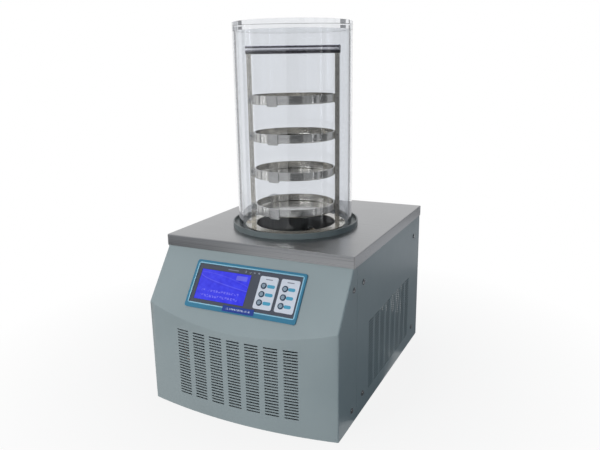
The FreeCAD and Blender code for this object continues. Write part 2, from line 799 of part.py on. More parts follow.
def make_top_plate():
    """Stainless cover with turned-down edges and the mouth of the cold trap."""
    outer = box("top_blank", ("top_width", "top_depth", "top_flange"),
                ("-top_width / 2", PLATE, f"{TOP} - top_flange"))
    top = value(TOP)

    def bent(edge):
        upright = is_along(edge, Vector(0, 0, 1))
        return upright or edge.BoundBox.ZMin > top - 0.01
    rounded = round_edges("top_rounded", outer, bent, "top_corner")
    inner = box("top_inside", ("top_width - 2 * sheet", "top_depth - 2 * sheet", "top_flange"),
                ("-top_width / 2 + sheet", f"{PLATE} + sheet", f"{TOP} - top_flange - sheet"))
    mouth = rod("top_mouth", f"{TRAP_OUTER} + lap_gap", "top_flange", ("0", JAR, f"{TOP} - top_flange / 2"))
    return cut("top_plate", rounded, [inner, mouth])


def make_front_posts():
    """Pair of posts behind the nose's cheeks, cut back along its slope."""
    nose, brow = f"{PLATE} + cheek_low_front - post_edge", f"{PLATE} + post_clear"
    fall = f"(post_clear - cheek_low_front + post_edge) * {SLOPE_FALL} / {SLOPE_RUN}"
    back, high = f"({PLATE} + screw_front + post_tail)", f"{TOP} - sheet"
    outline = [
        (nose, PAN_FLOOR), (back, PAN_FLOOR), (back, high), (brow, high),
        (brow, f"{SLOPE_TOP} - post_edge"), (nose, f"{SLOPE_TOP} - post_edge - {fall}"),
    ]
    return [folded_post("front_post", hand, outline, back, []) for hand in (1, -1)]


def make_rear_posts():
    """Pair of posts inside the rear corners."""
    back, high = f"({PAN_BACK} - sheet - lap_gap)", f"{TOP} - sheet"
    nose = f"{back} - 2 * post_leg"
    outline = [(nose, PAN_FLOOR), (back, PAN_FLOOR), (back, high), (nose, high)]
    return [folded_post("rear_post", hand, outline, back, rear_screw_places(hand)) for hand in (1, -1)]


def folded_post(label, hand, outline, back, rear_places):
    """Post of two folded legs from the floor pan to the top plate, drilled for the screws it takes."""
    skin = span_start(hand, POST_SIDE, "post_sheet")
    leg = slab(f"{label}_leg", "YZ_Plane", outline, "post_sheet", skin)
    web = box(f"{label}_web", ("post_leg", "post_sheet", f"{TOP} - sheet - {PAN_FLOOR}"),
              (span_start(hand, POST_SIDE, "post_leg"), f"{back} - post_sheet", PAN_FLOOR))
    bore, start = "screw_shank + shaft_gap", f"{skin} - post_leg / 2"
    drills = [rod(f"{label}_drill", bore, "post_leg", (start, y, z), "x")
              for y, z in side_screw_places() + cheek_screw_places()]
    drills += [rod(f"{label}_drill", bore, "post_leg", (x, f"{back} - post_leg / 2", z), "y")
               for x, z in rear_places]
    return cut(f"{label}_{hand}", fuse(f"{label}_blank", [leg, web]), drills)


# ---------------------------------------------------------------- screws of the cabinet
def side_screw_places():
    """Heights and depths of the screws on one side panel."""
    heights = ("screw_high", "screw_low + side_screw_up")
    return [(f"{PLATE} + {depth}", f"{LOW} + {height}") for depth in ("screw_front", "screw_rear") for height in heights]


def cheek_screw_places():
    """Heights and depths of the screws on one nose cheek."""
    return [(f"{PLATE} + cheek_high_front", f"{LOW} + screw_high"),
            (f"{PLATE} + cheek_low_front", f"{LOW} + screw_low")]


def rear_screw_places(hand=0):
    """Places of the screws of the rear panel, of one hand or of both."""
    edges = ((-1, f"-{HALF} + rear_screw_in"), (1, f"{HALF} - rear_screw_in"))
    sides = [x for side, x in edges if hand in (0, side)]
    return [(x, f"{LOW} + {height}") for x in sides
            for height in ("screw_low", "body_height / 2", "screw_high + rear_screw_up")]


def pan_head_screw(label, seat, axis, head="screw_head", rise="screw_rise",
                   shank="screw_shank", length="screw_length"):
    """Screw with its head on a seat; axis is the way its head points."""
    doc_label = f"{label}_screw"
    profile = [("0", f"-{length}"), (shank, f"-{length}"), (shank, "0"), (head, "0"),
               (head, f"{rise} * 0.45"), (f"{head} * 0.62", rise), ("0", rise)]
    return turned(doc_label, profile, seat, axis)


def make_cabinet_screws():
    """All the pan-head screws of the cabinet."""
    screws = []
    for y, z in side_screw_places() + cheek_screw_places():
        screws.append(pan_head_screw("right_side", (HALF, y, z), "x"))
        screws.append(pan_head_screw("left_side", (f"-{HALF}", y, z), "-x"))
    for x, z in rear_screw_places():
        screws.append(pan_head_screw("rear", (x, BACK, z), "y"))
    return group("cabinet_screws", screws)


def make_feet():
    """Four rubber feet under the floor pan."""
    feet = []
    for x in (f"-{HALF} + foot_inset", f"{HALF} - foot_inset"):
        for y in (f"{PLATE} - nose_run + foot_inset", f"{PLATE} + top_depth - foot_inset"):
            profile = [("0", "0"), ("foot_radius - 1.5", "0"), ("foot_radius", "1.5"),
                       ("foot_radius", "foot_height"), ("0", "foot_height")]
            feet.append(turned("foot", profile, (x, y, "0")))
    return group("rubber_feet", feet)


# ---------------------------------------------------------------- control panel
def lay_on_slope(thing, across="0", up="0"):
    """Set a piece drawn flat (X across, Y up the slope, Z outwards) on the sloped face."""
    thing.Placement = Placement(Vector(), Rotation(Vector(1, 0, 0), 50))
    bind(thing, Placement__Rotation__Angle=f"acos({SLOPE_RUN} / {SLOPE_LENGTH})")
    return bind_place(thing, (
        across,
        f"{PLATE} + slope_tuck + ({up}) * {SLOPE_RUN} / {SLOPE_LENGTH}",
        f"{SLOPE_TOP} + ({up}) * {SLOPE_FALL} / {SLOPE_LENGTH}",
    ))


def down_rectangle(left, down, width, height):
    """Corners of a rectangle given by its left, its start down the slope and its size."""
    low, right = f"-({down}) - ({height})", f"({left}) + ({width})"
    return [(left, low), (right, low), (right, f"-({down})"), (left, f"-({down})")]


def rounded_plate(label, rectangle, low, rise, corner):
    """Flat plate of the control panel with rounded corners."""
    body = new_body(label)
    pad(body, draw_outline(new_sketch(body, "XY_Plane", low), rectangle), rise)
    doc.recompute()
    if corner:
        flat = body.Tip
        edges = [f"Edge{i}" for i, edge in enumerate(flat.Shape.Edges, start=1)
                 if is_along(edge, Vector(0, 0, 1))]
        rounded = body.newObject("PartDesign::Fillet", f"{label}_corners")
        rounded.Base = (flat, edges)
        rounded.setExpression("Radius", bound(corner))
    return body


def button_places():
    """Centres of the six buttons on the panel, pad by pad from the top."""
    return [(f"{left} + button_inset", f"-button_down - {row} * button_pitch")
            for left in ("pad_one_left", "pad_two_left") for row in range(3)]


def make_bezel():
    """Frame round the control panel."""
    outline = down_rectangle("-bezel_width / 2", "bezel_down", "bezel_width", "bezel_height")
    plate = rounded_plate("panel_bezel", outline, "0", "bezel_rise", "bezel_corner")
    inside = down_rectangle("-bezel_width / 2 + bezel_border", "bezel_down + bezel_border",
                            "bezel_width - 2 * bezel_border", "bezel_height - bezel_border - bezel_foot")
    pocket(plate, draw_outline(new_sketch(plate, "XY_Plane", "bezel_rise + 1"), inside), "bezel_rise + 2")
    return lay_on_slope(plate)


def make_overlay():
    """Dark overlay inside the frame, open for the screen and the buttons."""
    inset = "(bezel_border + fit_gap)"
    outline = down_rectangle(f"-bezel_width / 2 + {inset}", f"bezel_down + {inset}", f"bezel_width - 2 * {inset}",
                             f"bezel_height - {inset} - bezel_foot - fit_gap")
    plate = rounded_plate("panel_overlay", outline, "0", "overlay_rise", None)
    opening = new_sketch(plate, "XY_Plane", "overlay_rise + 1")
    draw_outline(opening, down_rectangle("screen_left - fit_gap", "screen_down - fit_gap",
                                         "screen_width + 2 * fit_gap", "screen_height + 2 * fit_gap"))
    for centre in button_places():
        draw_circle(opening, centre, "button_radius + button_gap")
    pocket(plate, opening, "overlay_rise + 2")
    return lay_on_slope(plate)


def make_screen():
    """Display module: its face in the window, its body behind the sheet."""
    face = box("screen_face", ("screen_width", "screen_height", "sheet + overlay_rise"),
               ("screen_left", "-screen_down - screen_height", "-sheet - lap_gap"))
    wide, tall = "screen_width + 2 * module_border", "screen_height + 2 * module_border"
    body = box("screen_body", (wide, tall, "board_drop - sheet - lap_gap"),
               ("screen_left - module_border", "-screen_down - screen_height - module_border", "-board_drop"))
    return lay_on_slope(fuse("lcd_screen", [face, body]))


def make_key_pad(label, left):
    """Raised light pad that frames three buttons."""
    plate = rounded_plate(label, down_rectangle(left, "pad_down", "pad_width", "pad_height"),
                          "overlay_rise", "pad_rise - overlay_rise", "pad_corner")
    opening = new_sketch(plate, "XY_Plane", "pad_rise + 1")
    for row in range(3):
        draw_circle(opening, (f"{left} + button_inset", f"-button_down - {row} * button_pitch"),
                    "button_radius + button_gap")
    pocket(plate, opening, "pad_rise - overlay_rise + 2")
    return lay_on_slope(plate)


def make_button(number, place):
    """Push button: domed cap, collar behind the sheet and stem to its switch."""
    x, y = place
    behind = "-sheet - lap_gap"
    profile = [
        ("0", f"-{BUTTON_STEM}"), ("stem_radius", f"-{BUTTON_STEM}"),
        ("stem_radius", f"{behind} - button_collar"), ("button_radius + collar_reach", f"{behind} - button_collar"),
        ("button_radius + collar_reach", behind), ("button_radius", behind),
        ("button_radius", "button_rise - button_edge"), ("button_radius - button_edge", "button_rise"),
        ("0", "button_rise"),
    ]
    return lay_on_slope(turned(f"button_{number}", profile, ("0", "0", "0")), x, y)


def make_control_board():
    """Circuit board behind the panel, with a switch under each button and four standoffs."""
    pieces = [box("board_blank", ("bezel_width - 2 * board_inset", "bezel_height - board_short", "board_sheet"),
                  ("-bezel_width / 2 + board_inset", "-bezel_down - bezel_height + board_low",
                   "-board_drop - board_sheet"))]
    top = f"-{BUTTON_STEM} - button_travel - fit_gap"
    for x, y in button_places():
        pieces.append(box("board_switch", ("switch_side", "switch_side", f"{top} + board_drop"),
                          (f"{x} - switch_side / 2", f"{y} - switch_side / 2", "-board_drop")))
    high = "-bezel_down - board_short + board_low - standoff_in"
    low = "-bezel_down - bezel_height + board_low + standoff_in"
    for x in ("-bezel_width / 2 + board_inset + standoff_in", "bezel_width / 2 - board_inset - standoff_in"):
        for y in (high, low):
            pieces.append(rod("board_standoff", "standoff_radius", "board_drop - sheet", (x, y, "-board_drop")))
    for x, y, side in (("-95", "-95", "24"), ("-40", "-80", "18"), ("70", "-100", "14")):
        corner = (x, y, "-board_drop - board_sheet - chip_sheet")
        pieces.append(box("board_chip", (side, side, "chip_sheet"), corner))
    return lay_on_slope(fuse("control_board", pieces))


def make_name_plate():
    """Blank plate on the lower border of the frame."""
    rectangle = down_rectangle("plate_left", "plate_down", "plate_width", "plate_height")
    return lay_on_slope(rounded_plate("name_plate", rectangle, "bezel_rise", "plate_sheet", None))


def make_lamps():
    """Row of small status lamps."""
    places = [f"lamp_left + {index} * lamp_pitch" for index in range(4)]
    lamps = [rod("lamp", "lamp_radius", "lamp_rise", (x, "-lamp_down", "overlay_rise")) for x in places]
    return lay_on_slope(group("status_lamps", lamps))


# ---------------------------------------------------------------- cold trap and bell jar
def make_cold_trap():
    """Stainless well with its flange on the top plate and a drain stub underneath."""
    profile = [
        ("drain_bore", TRAP_FLOOR), ("trap_bore", TRAP_FLOOR), ("trap_bore", f"{TOP} + trap_lip"),
        ("trap_flange", f"{TOP} + trap_lip"), ("trap_flange", TOP), (TRAP_OUTER, TOP),
        (TRAP_OUTER, f"{TRAP_FLOOR} - sheet"), ("drain_radius", f"{TRAP_FLOOR} - sheet"),
        ("drain_radius", STUB_END), ("drain_bore", STUB_END),
    ]
    well = turned("trap_well", profile, ("0", JAR, "0"))
    port = rod("trap_port", "pipe_radius + shaft_gap", "40", ("0", f"{JAR} + trap_bore - 20", PIPE_UP), "y")
    return cut("cold_trap", well, [port])


def make_jacket():
    """Foam cup round the trap and its coil, moulded in two halves that meet below the port."""
    floor = f"({TRAP_FLOOR} - sheet - lap_gap)"
    profile = [
        ("0", JACKET_LOW), (JACKET_RADIUS, JACKET_LOW), (JACKET_RADIUS, f"{TOP} - sheet"),
        (JACKET_BORE, f"{TOP} - sheet"), (JACKET_BORE, floor), ("0", floor),
    ]
    cup = turned("jacket_cup", profile, ("0", JAR, "0"))
    drills = [
        rod("jacket_port", "pipe_radius + lap_gap", "80", ("0", f"{JAR} + trap_bore", PIPE_UP), "y"),
        rod("jacket_drain", "drain_radius + lap_gap", "80", ("0", JAR, f"{JACKET_LOW} - 10")),
        tube("jacket_liquid", liquid_route(), "line_radius - 1 + lap_gap", None, "line_bend"),
        tube("jacket_suction", suction_route(), "line_radius + 1 + lap_gap", None, "line_bend"),
        box("jacket_joint", ("shaft_gap", f"2 * {JACKET_RADIUS} + 2", f"{TOP} - {JACKET_LOW} + 2"),
            ("-shaft_gap / 2", f"{JAR} - {JACKET_RADIUS} - 1", f"{JACKET_LOW} - 1")),
    ]
    return cut("insulation_jacket", cup, drills)


def make_coil():
    """Copper evaporator coil soldered round the well."""
    radius = value(COIL_RADIUS)
    pitch, turns = value("coil_pitch"), value("coil_turns")
    helix = Part.makeHelix(pitch, pitch * turns, radius)
    along = Vector(0, 2 * math.pi * radius, pitch)
    circle = Part.Circle(Vector(radius, 0, 0), along, value("coil_tube"))
    ring = Part.Wire([Part.Edge(circle, 0, math.pi), Part.Edge(circle, math.pi, 2 * math.pi)])
    coil = shaped("evaporator_coil", helix.makePipeShell([ring], True, True))
    return bind_place(coil, ("0", JAR, COIL_LOW))


def make_seal():
    """Rubber ring with a raised lip that the bell jar stands in."""
    profile = [
        ("trap_flange + fit_gap", TOP), ("seal_radius", TOP), ("seal_radius", f"{TOP} + seal_rise"),
        ("seal_radius - seal_lip", f"{TOP} + seal_rise"), ("seal_radius - seal_lip", f"{TOP} + seal_floor"),
        ("trap_flange + fit_gap", f"{TOP} + seal_floor"),
    ]
    return turned("seal_ring", profile, ("0", JAR, "0"))


def make_jar():
    """Acrylic tube and the disc bonded into its top."""
    low = f"({TOP} + seal_floor)"
    wall = [("jar_radius - jar_wall", low), ("jar_radius", low), ("jar_radius", f"{low} + jar_height"),
            ("jar_radius - jar_wall", f"{low} + jar_height")]
    lid = rod("jar_lid", "jar_radius - jar_wall - shaft_gap", "lid_sheet",
              ("0", JAR, f"{low} + jar_height - lid_sheet"))
    return [turned("jar_tube", wall, ("0", JAR, "0")), lid]


# ---------------------------------------------------------------- rack and trays
def turn_to_rack(thing):
    """Set a piece drawn about the rack's own axis, X along the rack's plane, on the jar axis."""
    thing.Placement = Placement(Vector(), Rotation(Vector(0, 0, 1), 20))
    bind(thing, Placement__Rotation__Angle="rack_turn")
    return bind_place(thing, ("0", JAR, "0"))


def make_rack_base():
    """Flat ring on the trap's flange that the legs stand on."""
    low = f"({TOP} + trap_lip)"
    profile = [("base_inner", low), ("base_outer", low), ("base_outer", f"{low} + base_sheet"),
               ("base_inner", f"{low} + base_sheet")]
    ring = turned("rack_base_ring", profile, ("0", "0", "0"))
    return turn_to_rack(cut("rack_base", ring, foot_drills("base", foot_screw_places())))


def leg_blank(label, hand):
    """Leg with its foot, drawn about the rack's axis; hand is 1 for the right leg."""
    inner, outer, toe = f"{hand} * {LEG_INNER}", f"{hand} * ({LEG_INNER} + leg_width)", f"{hand} * base_outer"
    high = f"({TOP} + handle_up)"
    points = [(inner, LEG_LOW), (toe, LEG_LOW), (toe, f"{LEG_LOW} + base_sheet"),
              (outer, f"{LEG_LOW} + base_sheet"), (outer, high), (inner, high)]
    return slab(label, "XZ_Plane", points, "leg_sheet", "-leg_sheet / 2")


def make_leg(label, hand):
    """One leg of the rack with its screw holes."""
    side = 0 if hand < 0 else 1
    drills = side_drills(label, [holder_screw_places(low)[side] for low in tray_heights()])
    drills += foot_drills(label, foot_screw_places()[side:side + 1])
    return turn_to_rack(cut(label, leg_blank(f"{label}_blank", hand), drills))


def make_handle():
    """Closed round handle across the legs, slotted over their upper ends."""
    end, low = f"({LEG_INNER} + leg_width + handle_wall)", f"{TOP} + handle_up"
    bar = rod("handle_bar", "handle_radius", f"2 * {end}", (f"-{end}", "0", low), "x")
    inside = f"({LEG_INNER} - 2 * handle_wall)"
    core = rod("handle_core", "handle_radius - handle_wall", f"2 * {inside}", (f"-{inside}", "0", low), "x")
    slot = ("leg_width + 2 * shaft_gap", "leg_sheet + 2 * shaft_gap", "handle_radius + shaft_gap")
    slots = [box("handle_slot", slot, (left, "-leg_sheet / 2 - shaft_gap", f"{low} - handle_radius"))
             for left in (f"{LEG_INNER} - shaft_gap", f"-{LEG_INNER} - leg_width - shaft_gap")]
    return turn_to_rack(cut("rack_handle", bar, [core] + slots))


def tray_heights():
    """Underside of each tray, from the lowest up."""
    return [f"({TOP} + tray_low + {index} * tray_pitch)" for index in range(int(SIZES["tray_count"]))]


def ring_sector(label, inner, outer, low, height, first, sweep):
    """Piece of a ring wall between two angles."""
    thing = doc.addObject("Part::Cylinder", f"{label}_outer")
    bind(thing, Radius=outer, Height=height, Angle=sweep)
    hole = doc.addObject("Part::Cylinder", f"{label}_inner")
    bind(hole, Radius=inner, Height=f"{height} + 2", Angle="360")
    bind_place(hole, ("0", "0", f"{low} - 1"))
    thing.Placement = Placement(Vector(), Rotation(Vector(0, 0, 1), value(first)))
    bind_place(thing, ("0", "0", low))
    return cut(label, thing, [hole])


def make_tray_holder(number, low):
    """Holder of one tray: two straps that hug its wall, joined by a strip under its floor."""
    inner, outer = "(tray_radius + fit_gap)", f"({LEG_INNER} - shaft_gap)"
    pieces = []
    for start in (180, 0):
        name = f"holder_{number}_{start}"
        side = -1 if start else 1
        pieces.append(ring_sector(f"{name}_strap", inner, outer, f"{low} - strap_sheet", "strap_height",
                                  f"{start} + 1.5", "strap_wrap - 1.5"))
        lug_angle = f"lug_width / tray_radius * 180 / {math.pi:.6f}"
        pieces.append(ring_sector(f"{name}_lug", inner, outer, f"{low} - lug_drop", "lug_drop + 1",
                                  f"{start} + strap_wrap - {lug_angle}", lug_angle))
        tab_y = "-leg_sheet / 2 - strap_sheet - shaft_gap" if side < 0 else "leg_sheet / 2 + shaft_gap"
        tab_x = f"-{LEG_INNER} - leg_width" if side < 0 else f"{inner} - 0.2"
        tab = box(f"{name}_tab", (f"{LEG_INNER} + leg_width - {inner} + 0.2", "strap_sheet", "strap_height"),
                  (tab_x, tab_y, f"{low} - strap_sheet"))
        seat = holder_screw_places(low)[0 if side < 0 else 1]
        pieces.append(cut(f"{name}_drilled", tab, side_drills(name, [seat])))
    half = f"sqrt({outer}^2 - (lug_width / 2)^2)"
    strip = box(f"holder_{number}_strip", (f"2 * {half}", "lug_width", "strap_sheet"), ("0", "0", "0"))
    strip_angle = f"(strap_wrap - lug_width / tray_radius * 90 / {math.pi:.6f})"
    strip.Placement = Placement(Vector(), Rotation(Vector(0, 0, 1), value(strip_angle)))
    bind_place(strip, (
        f"-{half} * cos({strip_angle}) + lug_width / 2 * sin({strip_angle})",
        f"-{half} * sin({strip_angle}) - lug_width / 2 * cos({strip_angle})",
        f"{low} - strap_sheet",
    ))
    bind(strip, Placement__Rotation__Angle=strip_angle)
    return turn_to_rack(fuse(f"tray_holder_{number}", pieces + [strip]))


def make_tray(number, low):
    """Shallow round tray."""
    inner, brim, floor = "tray_radius - tray_sheet", f"{low} + tray_height", f"{low} + tray_sheet"
    profile = [("0", low), ("tray_radius", low), ("tray_radius", brim), (inner, brim), (inner, floor), ("0", floor)]
    return turned(f"tray_{number}", profile, ("0", JAR, "0"))


def holder_screw_places(low):
    """Seats of the two screws of one holder, left then right, as (x, y, z)."""
    middle, face = f"({LEG_INNER} + leg_width / 2)", "(leg_sheet / 2 + shaft_gap + strap_sheet)"
    height = f"({low} + strap_height / 2 - strap_sheet)"
    return [(f"-{middle}", f"-{face}", height), (middle, face, height)]


def foot_screw_places():
    """Seats of the screws through the rack's feet, left then right, as (x, y, z)."""
    reach = f"({LEG_INNER} + leg_width + base_outer) / 2"
    return [(f"-{reach}", "0", f"{LEG_LOW} + base_sheet"), (reach, "0", f"{LEG_LOW} + base_sheet")]


def side_drills(label, places):
    """Drills for screws that run through a holder and its leg."""
    return [rod(f"{label}_drill", "screw_small + shaft_gap", "12", (x, "-6", z), "y") for x, y, z in places]


def foot_drills(label, places):
    """Drills for screws that run down through a foot."""
    return [rod(f"{label}_drill", "screw_small + shaft_gap", "20", (x, y, f"{z} - 10")) for x, y, z in places]


def make_rack_screws():
    """Small screws of the rack; the lowest on the left has a knurled thumb head."""
    screws = []
    for number, low in enumerate(tray_heights()):
        head, rise = ("5", "5") if number == 0 else ("screw_small * 2", "1.6")
        left, right = holder_screw_places(low)
        screws.append(pan_head_screw("rack", left, "-y", head, rise, "screw_small", "5.5"))
        screws.append(pan_head_screw("rack", right, "y", "screw_small * 2", "1.6", "screw_small", "5.5"))
    for seat in foot_screw_places():
        screws.append(pan_head_screw("rack", seat, None, "screw_small * 2", "1.6", "screw_small", "5.5"))
    return turn_to_rack(group("rack_screws", screws))


# ---------------------------------------------------------------- refrigeration set
def make_condenser():
    """Finned block between two end plates that stand on the floor pan."""
    left = "-condenser_width / 2"
    back = f"({CONDENSER_FRONT} + condenser_depth)"
    body = new_body("condenser_core")
    outline = [(left, CONDENSER_FRONT), (f"-({left})", CONDENSER_FRONT), (f"-({left})", back), (left, back)]
    pad(body, draw_outline(new_sketch(body, "XY_Plane", CONDENSER_UP), outline), "condenser_height")
    groove = new_sketch(body, "XY_Plane", f"{CONDENSER_UP} + condenser_height + 1")
    start = f"{left} + fin_pitch - fin_gap"
    end = f"{start} + fin_gap"
    for y in (f"{CONDENSER_FRONT} - 1", f"{back} - fin_depth"):
        deep = f"{y} + fin_depth + 1"
        draw_outline(groove, [(start, y), (end, y), (end, deep), (start, deep)])
    grooves = pocket(body, groove, "condenser_height + 2")
    fins = body.newObject("PartDesign::LinearPattern", "condenser_fins")
    fins.Originals = [grooves]
    fins.Direction = (groove, ["H_Axis"])
    bind(fins, Length="condenser_width - 2 * fin_pitch", Occurrences="floor(condenser_width / fin_pitch) - 1")
    body.Tip = fins
    rise = f"{CONDENSER_UP} + condenser_height + end_lap - {PAN_FLOOR}"
    plate = ("end_sheet", "condenser_depth + 2 * end_lap", rise)
    ends = [box("condenser_end", plate, (x, f"{CONDENSER_FRONT} - end_lap", PAN_FLOOR))
            for x in (f"{left} - end_sheet", f"-({left})")]
    return fuse("condenser", [body] + ends + condenser_pipes())


def condenser_pipes():
    """Return bends brazed to the condenser's ends and its outlet pipe to the drier."""
    middle = f"{CONDENSER_FRONT} + condenser_depth / 2"
    bends = []
    near_end = f"({CONDENSER_END} - 0.5)"
    for sign, first in (("-", "28"), ("", "50")):
        for step in range(2):
            low = f"{CONDENSER_UP} + {first} + {step} * 44"
            near, far = f"{sign}{near_end}", f"{sign}({CONDENSER_END} + bend_radius + 4)"
            route = [(near, middle, low), (far, middle, low), (far, middle, f"{low} + 2 * bend_radius + 2"),
                     (near, middle, f"{low} + 2 * bend_radius + 2")]
            bends.append(tube("condenser_bend", route, "line_radius", None, "bend_radius"))
    outlet = [(near_end, middle, OUTLET_UP), (DRIER_X, middle, OUTLET_UP), (DRIER_X, DRIER_FRONT, OUTLET_UP)]
    bends.append(tube("condenser_outlet", outlet, "line_radius", None, "line_bend"))
    return bends


def make_drier():
    """Filter drier: copper can with necked ends."""
    neck, radius, length = "line_radius + 1", "drier_radius", "drier_length"
    profile = [
        ("0", "0"), (neck, "0"), (neck, "neck_length"), (radius, "drier_shoulder"),
        (radius, f"{length} - drier_shoulder"), (neck, f"{length} - neck_length"), (neck, length), ("0", length),
    ]
    return turned("filter_drier", profile, (DRIER_X, DRIER_FRONT, OUTLET_UP), "y")


def liquid_route():
    """Route from the drier to the lower end of the coil."""
    return [
        (DRIER_X, f"{DRIER_FRONT} + drier_length", OUTLET_UP),
        (DRIER_X, f"{DRIER_FRONT} + drier_length + 55", OUTLET_UP),
        (COIL_RADIUS, f"{JAR} - 45", f"{OUTLET_UP} + 75"),
        (COIL_RADIUS, f"{JAR} - 45", COIL_LOW),
        (COIL_RADIUS, f"{JAR} - fit_gap", COIL_LOW),
    ]


def suction_route():
    """Route from the upper end of the coil to the compressor."""
    high, back = f"{COIL_LOW} + coil_turns * coil_pitch", f"{JAR} + {JACKET_RADIUS} + 30"
    side = f"({COIL_RADIUS} + 1)"
    return [
        (side, f"{JAR} + fit_gap", high),
        (side, back, high),
        (side, back, SUCTION_UP),
        (side, CAN_Y, SUCTION_UP),
        INLET_STUB,
    ]


def discharge_route():
    """Route from the compressor to the condenser's inlet."""
    middle, out = f"{CONDENSER_FRONT} + condenser_depth / 2", f"-{CONDENSER_END} - 30"
    return [
        OUTLET_STUB,
        (OUTLET_STUB[0], f"{PLATE} + 60", DISCHARGE_UP),
        (out, f"{PLATE} + 20", DISCHARGE_UP),
        (out, middle, DISCHARGE_UP),
        (out, middle, INLET_UP),
        (f"-{CONDENSER_END}", middle, INLET_UP),
    ]


def make_lines():
    """Copper lines of the refrigerant circuit."""
    return [
        tube("discharge_line", discharge_route(), "line_radius", None, "line_bend"),
        tube("suction_line", suction_route(), "line_radius + 1", None, "line_bend"),
        tube("liquid_line", liquid_route(), "line_radius - 1", None, "line_bend"),
    ]


def make_compressor():
    """Hermetic compressor: oval can with its weld seam, foot plate, stubs and terminal cover."""
    length, width, height = value("can_half_length"), value("can_half_width"), value("can_height")
    x, y, low, plate = value("-can_left"), value(CAN_Y), value(CAN_LOW), value("foot_plate")

    def oval(grow, base, rise):
        ring = Part.Ellipse(Vector(x, y, base), length + grow, width + grow).toShape()
        return Part.Face(Part.Wire([ring])).extrude(Vector(0, 0, rise))
    can = oval(0, low, height)
    rims = [edge for edge in can.Edges if edge.BoundBox.ZLength < 0.01]
    can = can.makeFillet(min(value("can_round"), height / 4), rims)
    seam = oval(value("seam_rise"), low + height / 2, value("seam_width"))
    reach, side = length + value("foot_lap"), width - value("foot_lap") / 2
    foot = Part.makeBox(2 * reach, 2 * side, plate, Vector(x - reach, y - side, low - plate))
    for place in mount_places():
        hole = Vector(value(place[0]), value(place[1]), low - plate - 1)
        foot = foot.cut(Part.makeCylinder(value("mount_bolt + fit_gap"), plate + 2, hole))
    neck = Part.makeCylinder(length / 2, plate, Vector(x, y, low - plate / 2))
    size = Vector(value("cover_length"), value("cover_width"), value("cover_height"))
    corner = Vector(x - length - value("cover_out"), y - size.y / 2, low + value("cover_up"))
    cover = Part.makeBox(size.x, size.y, size.z, corner)
    outlet, inlet = (Vector(*(value(part) for part in place)) for place in (OUTLET_STUB, INLET_STUB))
    line = value("line_radius")
    stubs = [Part.makeCylinder(line, width, outlet, Vector(0, 1, 0)),
             Part.makeCylinder(line + 1, length / 2, inlet, Vector(-1, 0, 0))]
    return shaped("compressor", can.multiFuse([seam, foot, neck, cover] + stubs).removeSplitter())


def mount_places():
    """Centres of the four rubber mounts, as (x, y)."""
    reach, side = "(can_half_length - mount_in)", "(can_half_width - 2 * mount_in)"
    return [(f"-can_left {left} {reach}", f"{CAN_Y} {front} {side}") for left in "-+" for front in "-+"]


def make_mounts():
    """Rubber mounts and their bolts under the compressor."""
    neck = "mount_radius - mount_groove"
    high = "mount_height + 2 * foot_plate"
    profile = [
        ("0", "0"), ("mount_radius", "0"), ("mount_radius", "mount_height / 3"), (neck, "mount_height / 2"),
        (neck, "mount_height"), ("mount_bolt", "mount_height"), ("mount_bolt", high), ("0", high),
    ]
    mounts = [turned("compressor_mount", profile, (x, y, PAN_FLOOR)) for x, y in mount_places()]
    return group("compressor_mounts", mounts)


def make_fan_shroud():
    """Duct between the condenser and the fan, with the collar round the blades."""
    low, left, wall = CONDENSER_UP, "-condenser_width / 2", f"({SHROUD_FRONT} + shroud_depth - sheet)"
    outer = box("shroud_outer", ("condenser_width", "shroud_depth", "condenser_height"), (left, SHROUD_FRONT, low))
    inside = ("condenser_width - 2 * sheet", "shroud_depth", "condenser_height - 2 * sheet")
    inner = box("shroud_inner", inside, (f"{left} + sheet", f"{SHROUD_FRONT} - sheet", f"{low} + sheet"))
    feet = [box("shroud_foot", ("shroud_foot", "sheet", f"{low} - {PAN_FLOOR}"), (x, wall, PAN_FLOOR))
            for x in (left, "condenser_width / 2 - shroud_foot")]
    collar = rod("shroud_collar", "fan_tip + fan_gap + sheet", "collar_depth", ("0", wall, FAN_UP), "y")
    bore = rod("shroud_bore", "fan_tip + fan_gap", "shroud_depth + collar_depth",
               ("0", f"{SHROUD_FRONT} + sheet", FAN_UP), "y")
    duct = cut("shroud_duct", outer, [inner])
    return cut("fan_shroud", fuse("shroud_whole", [duct, collar] + feet), [bore])


def make_fan_motor():
    """Fan motor with its shaft and the two-armed bracket that fixes it to the shroud."""
    front, wall = f"({FAN_MIDDLE} + motor_back)", f"({SHROUD_FRONT} + shroud_depth)"
    can = rod("motor_can", "motor_radius", "motor_length", ("0", front, FAN_UP), "y")
    shaft = rod("motor_shaft", "shaft_radius", "motor_back + hub_depth / 2",
                ("0", f"{FAN_MIDDLE} - hub_depth / 2 + 2", FAN_UP), "y")
    reach, low = "(fan_tip + fan_gap + sheet + arm_clear)", f"({FAN_UP} - arm_width / 2)"
    arms = [box("motor_arm", (f"2 * {reach}", "arm_sheet", "arm_width"), (f"-{reach}", front, low))]
    arms += [box("motor_leg", ("arm_sheet", f"{front} + arm_sheet - {wall}", "arm_width"), (x, wall, low))
             for x in (f"-{reach}", f"{reach} - arm_sheet")]
    return fuse("fan_motor", [can, shaft] + arms)


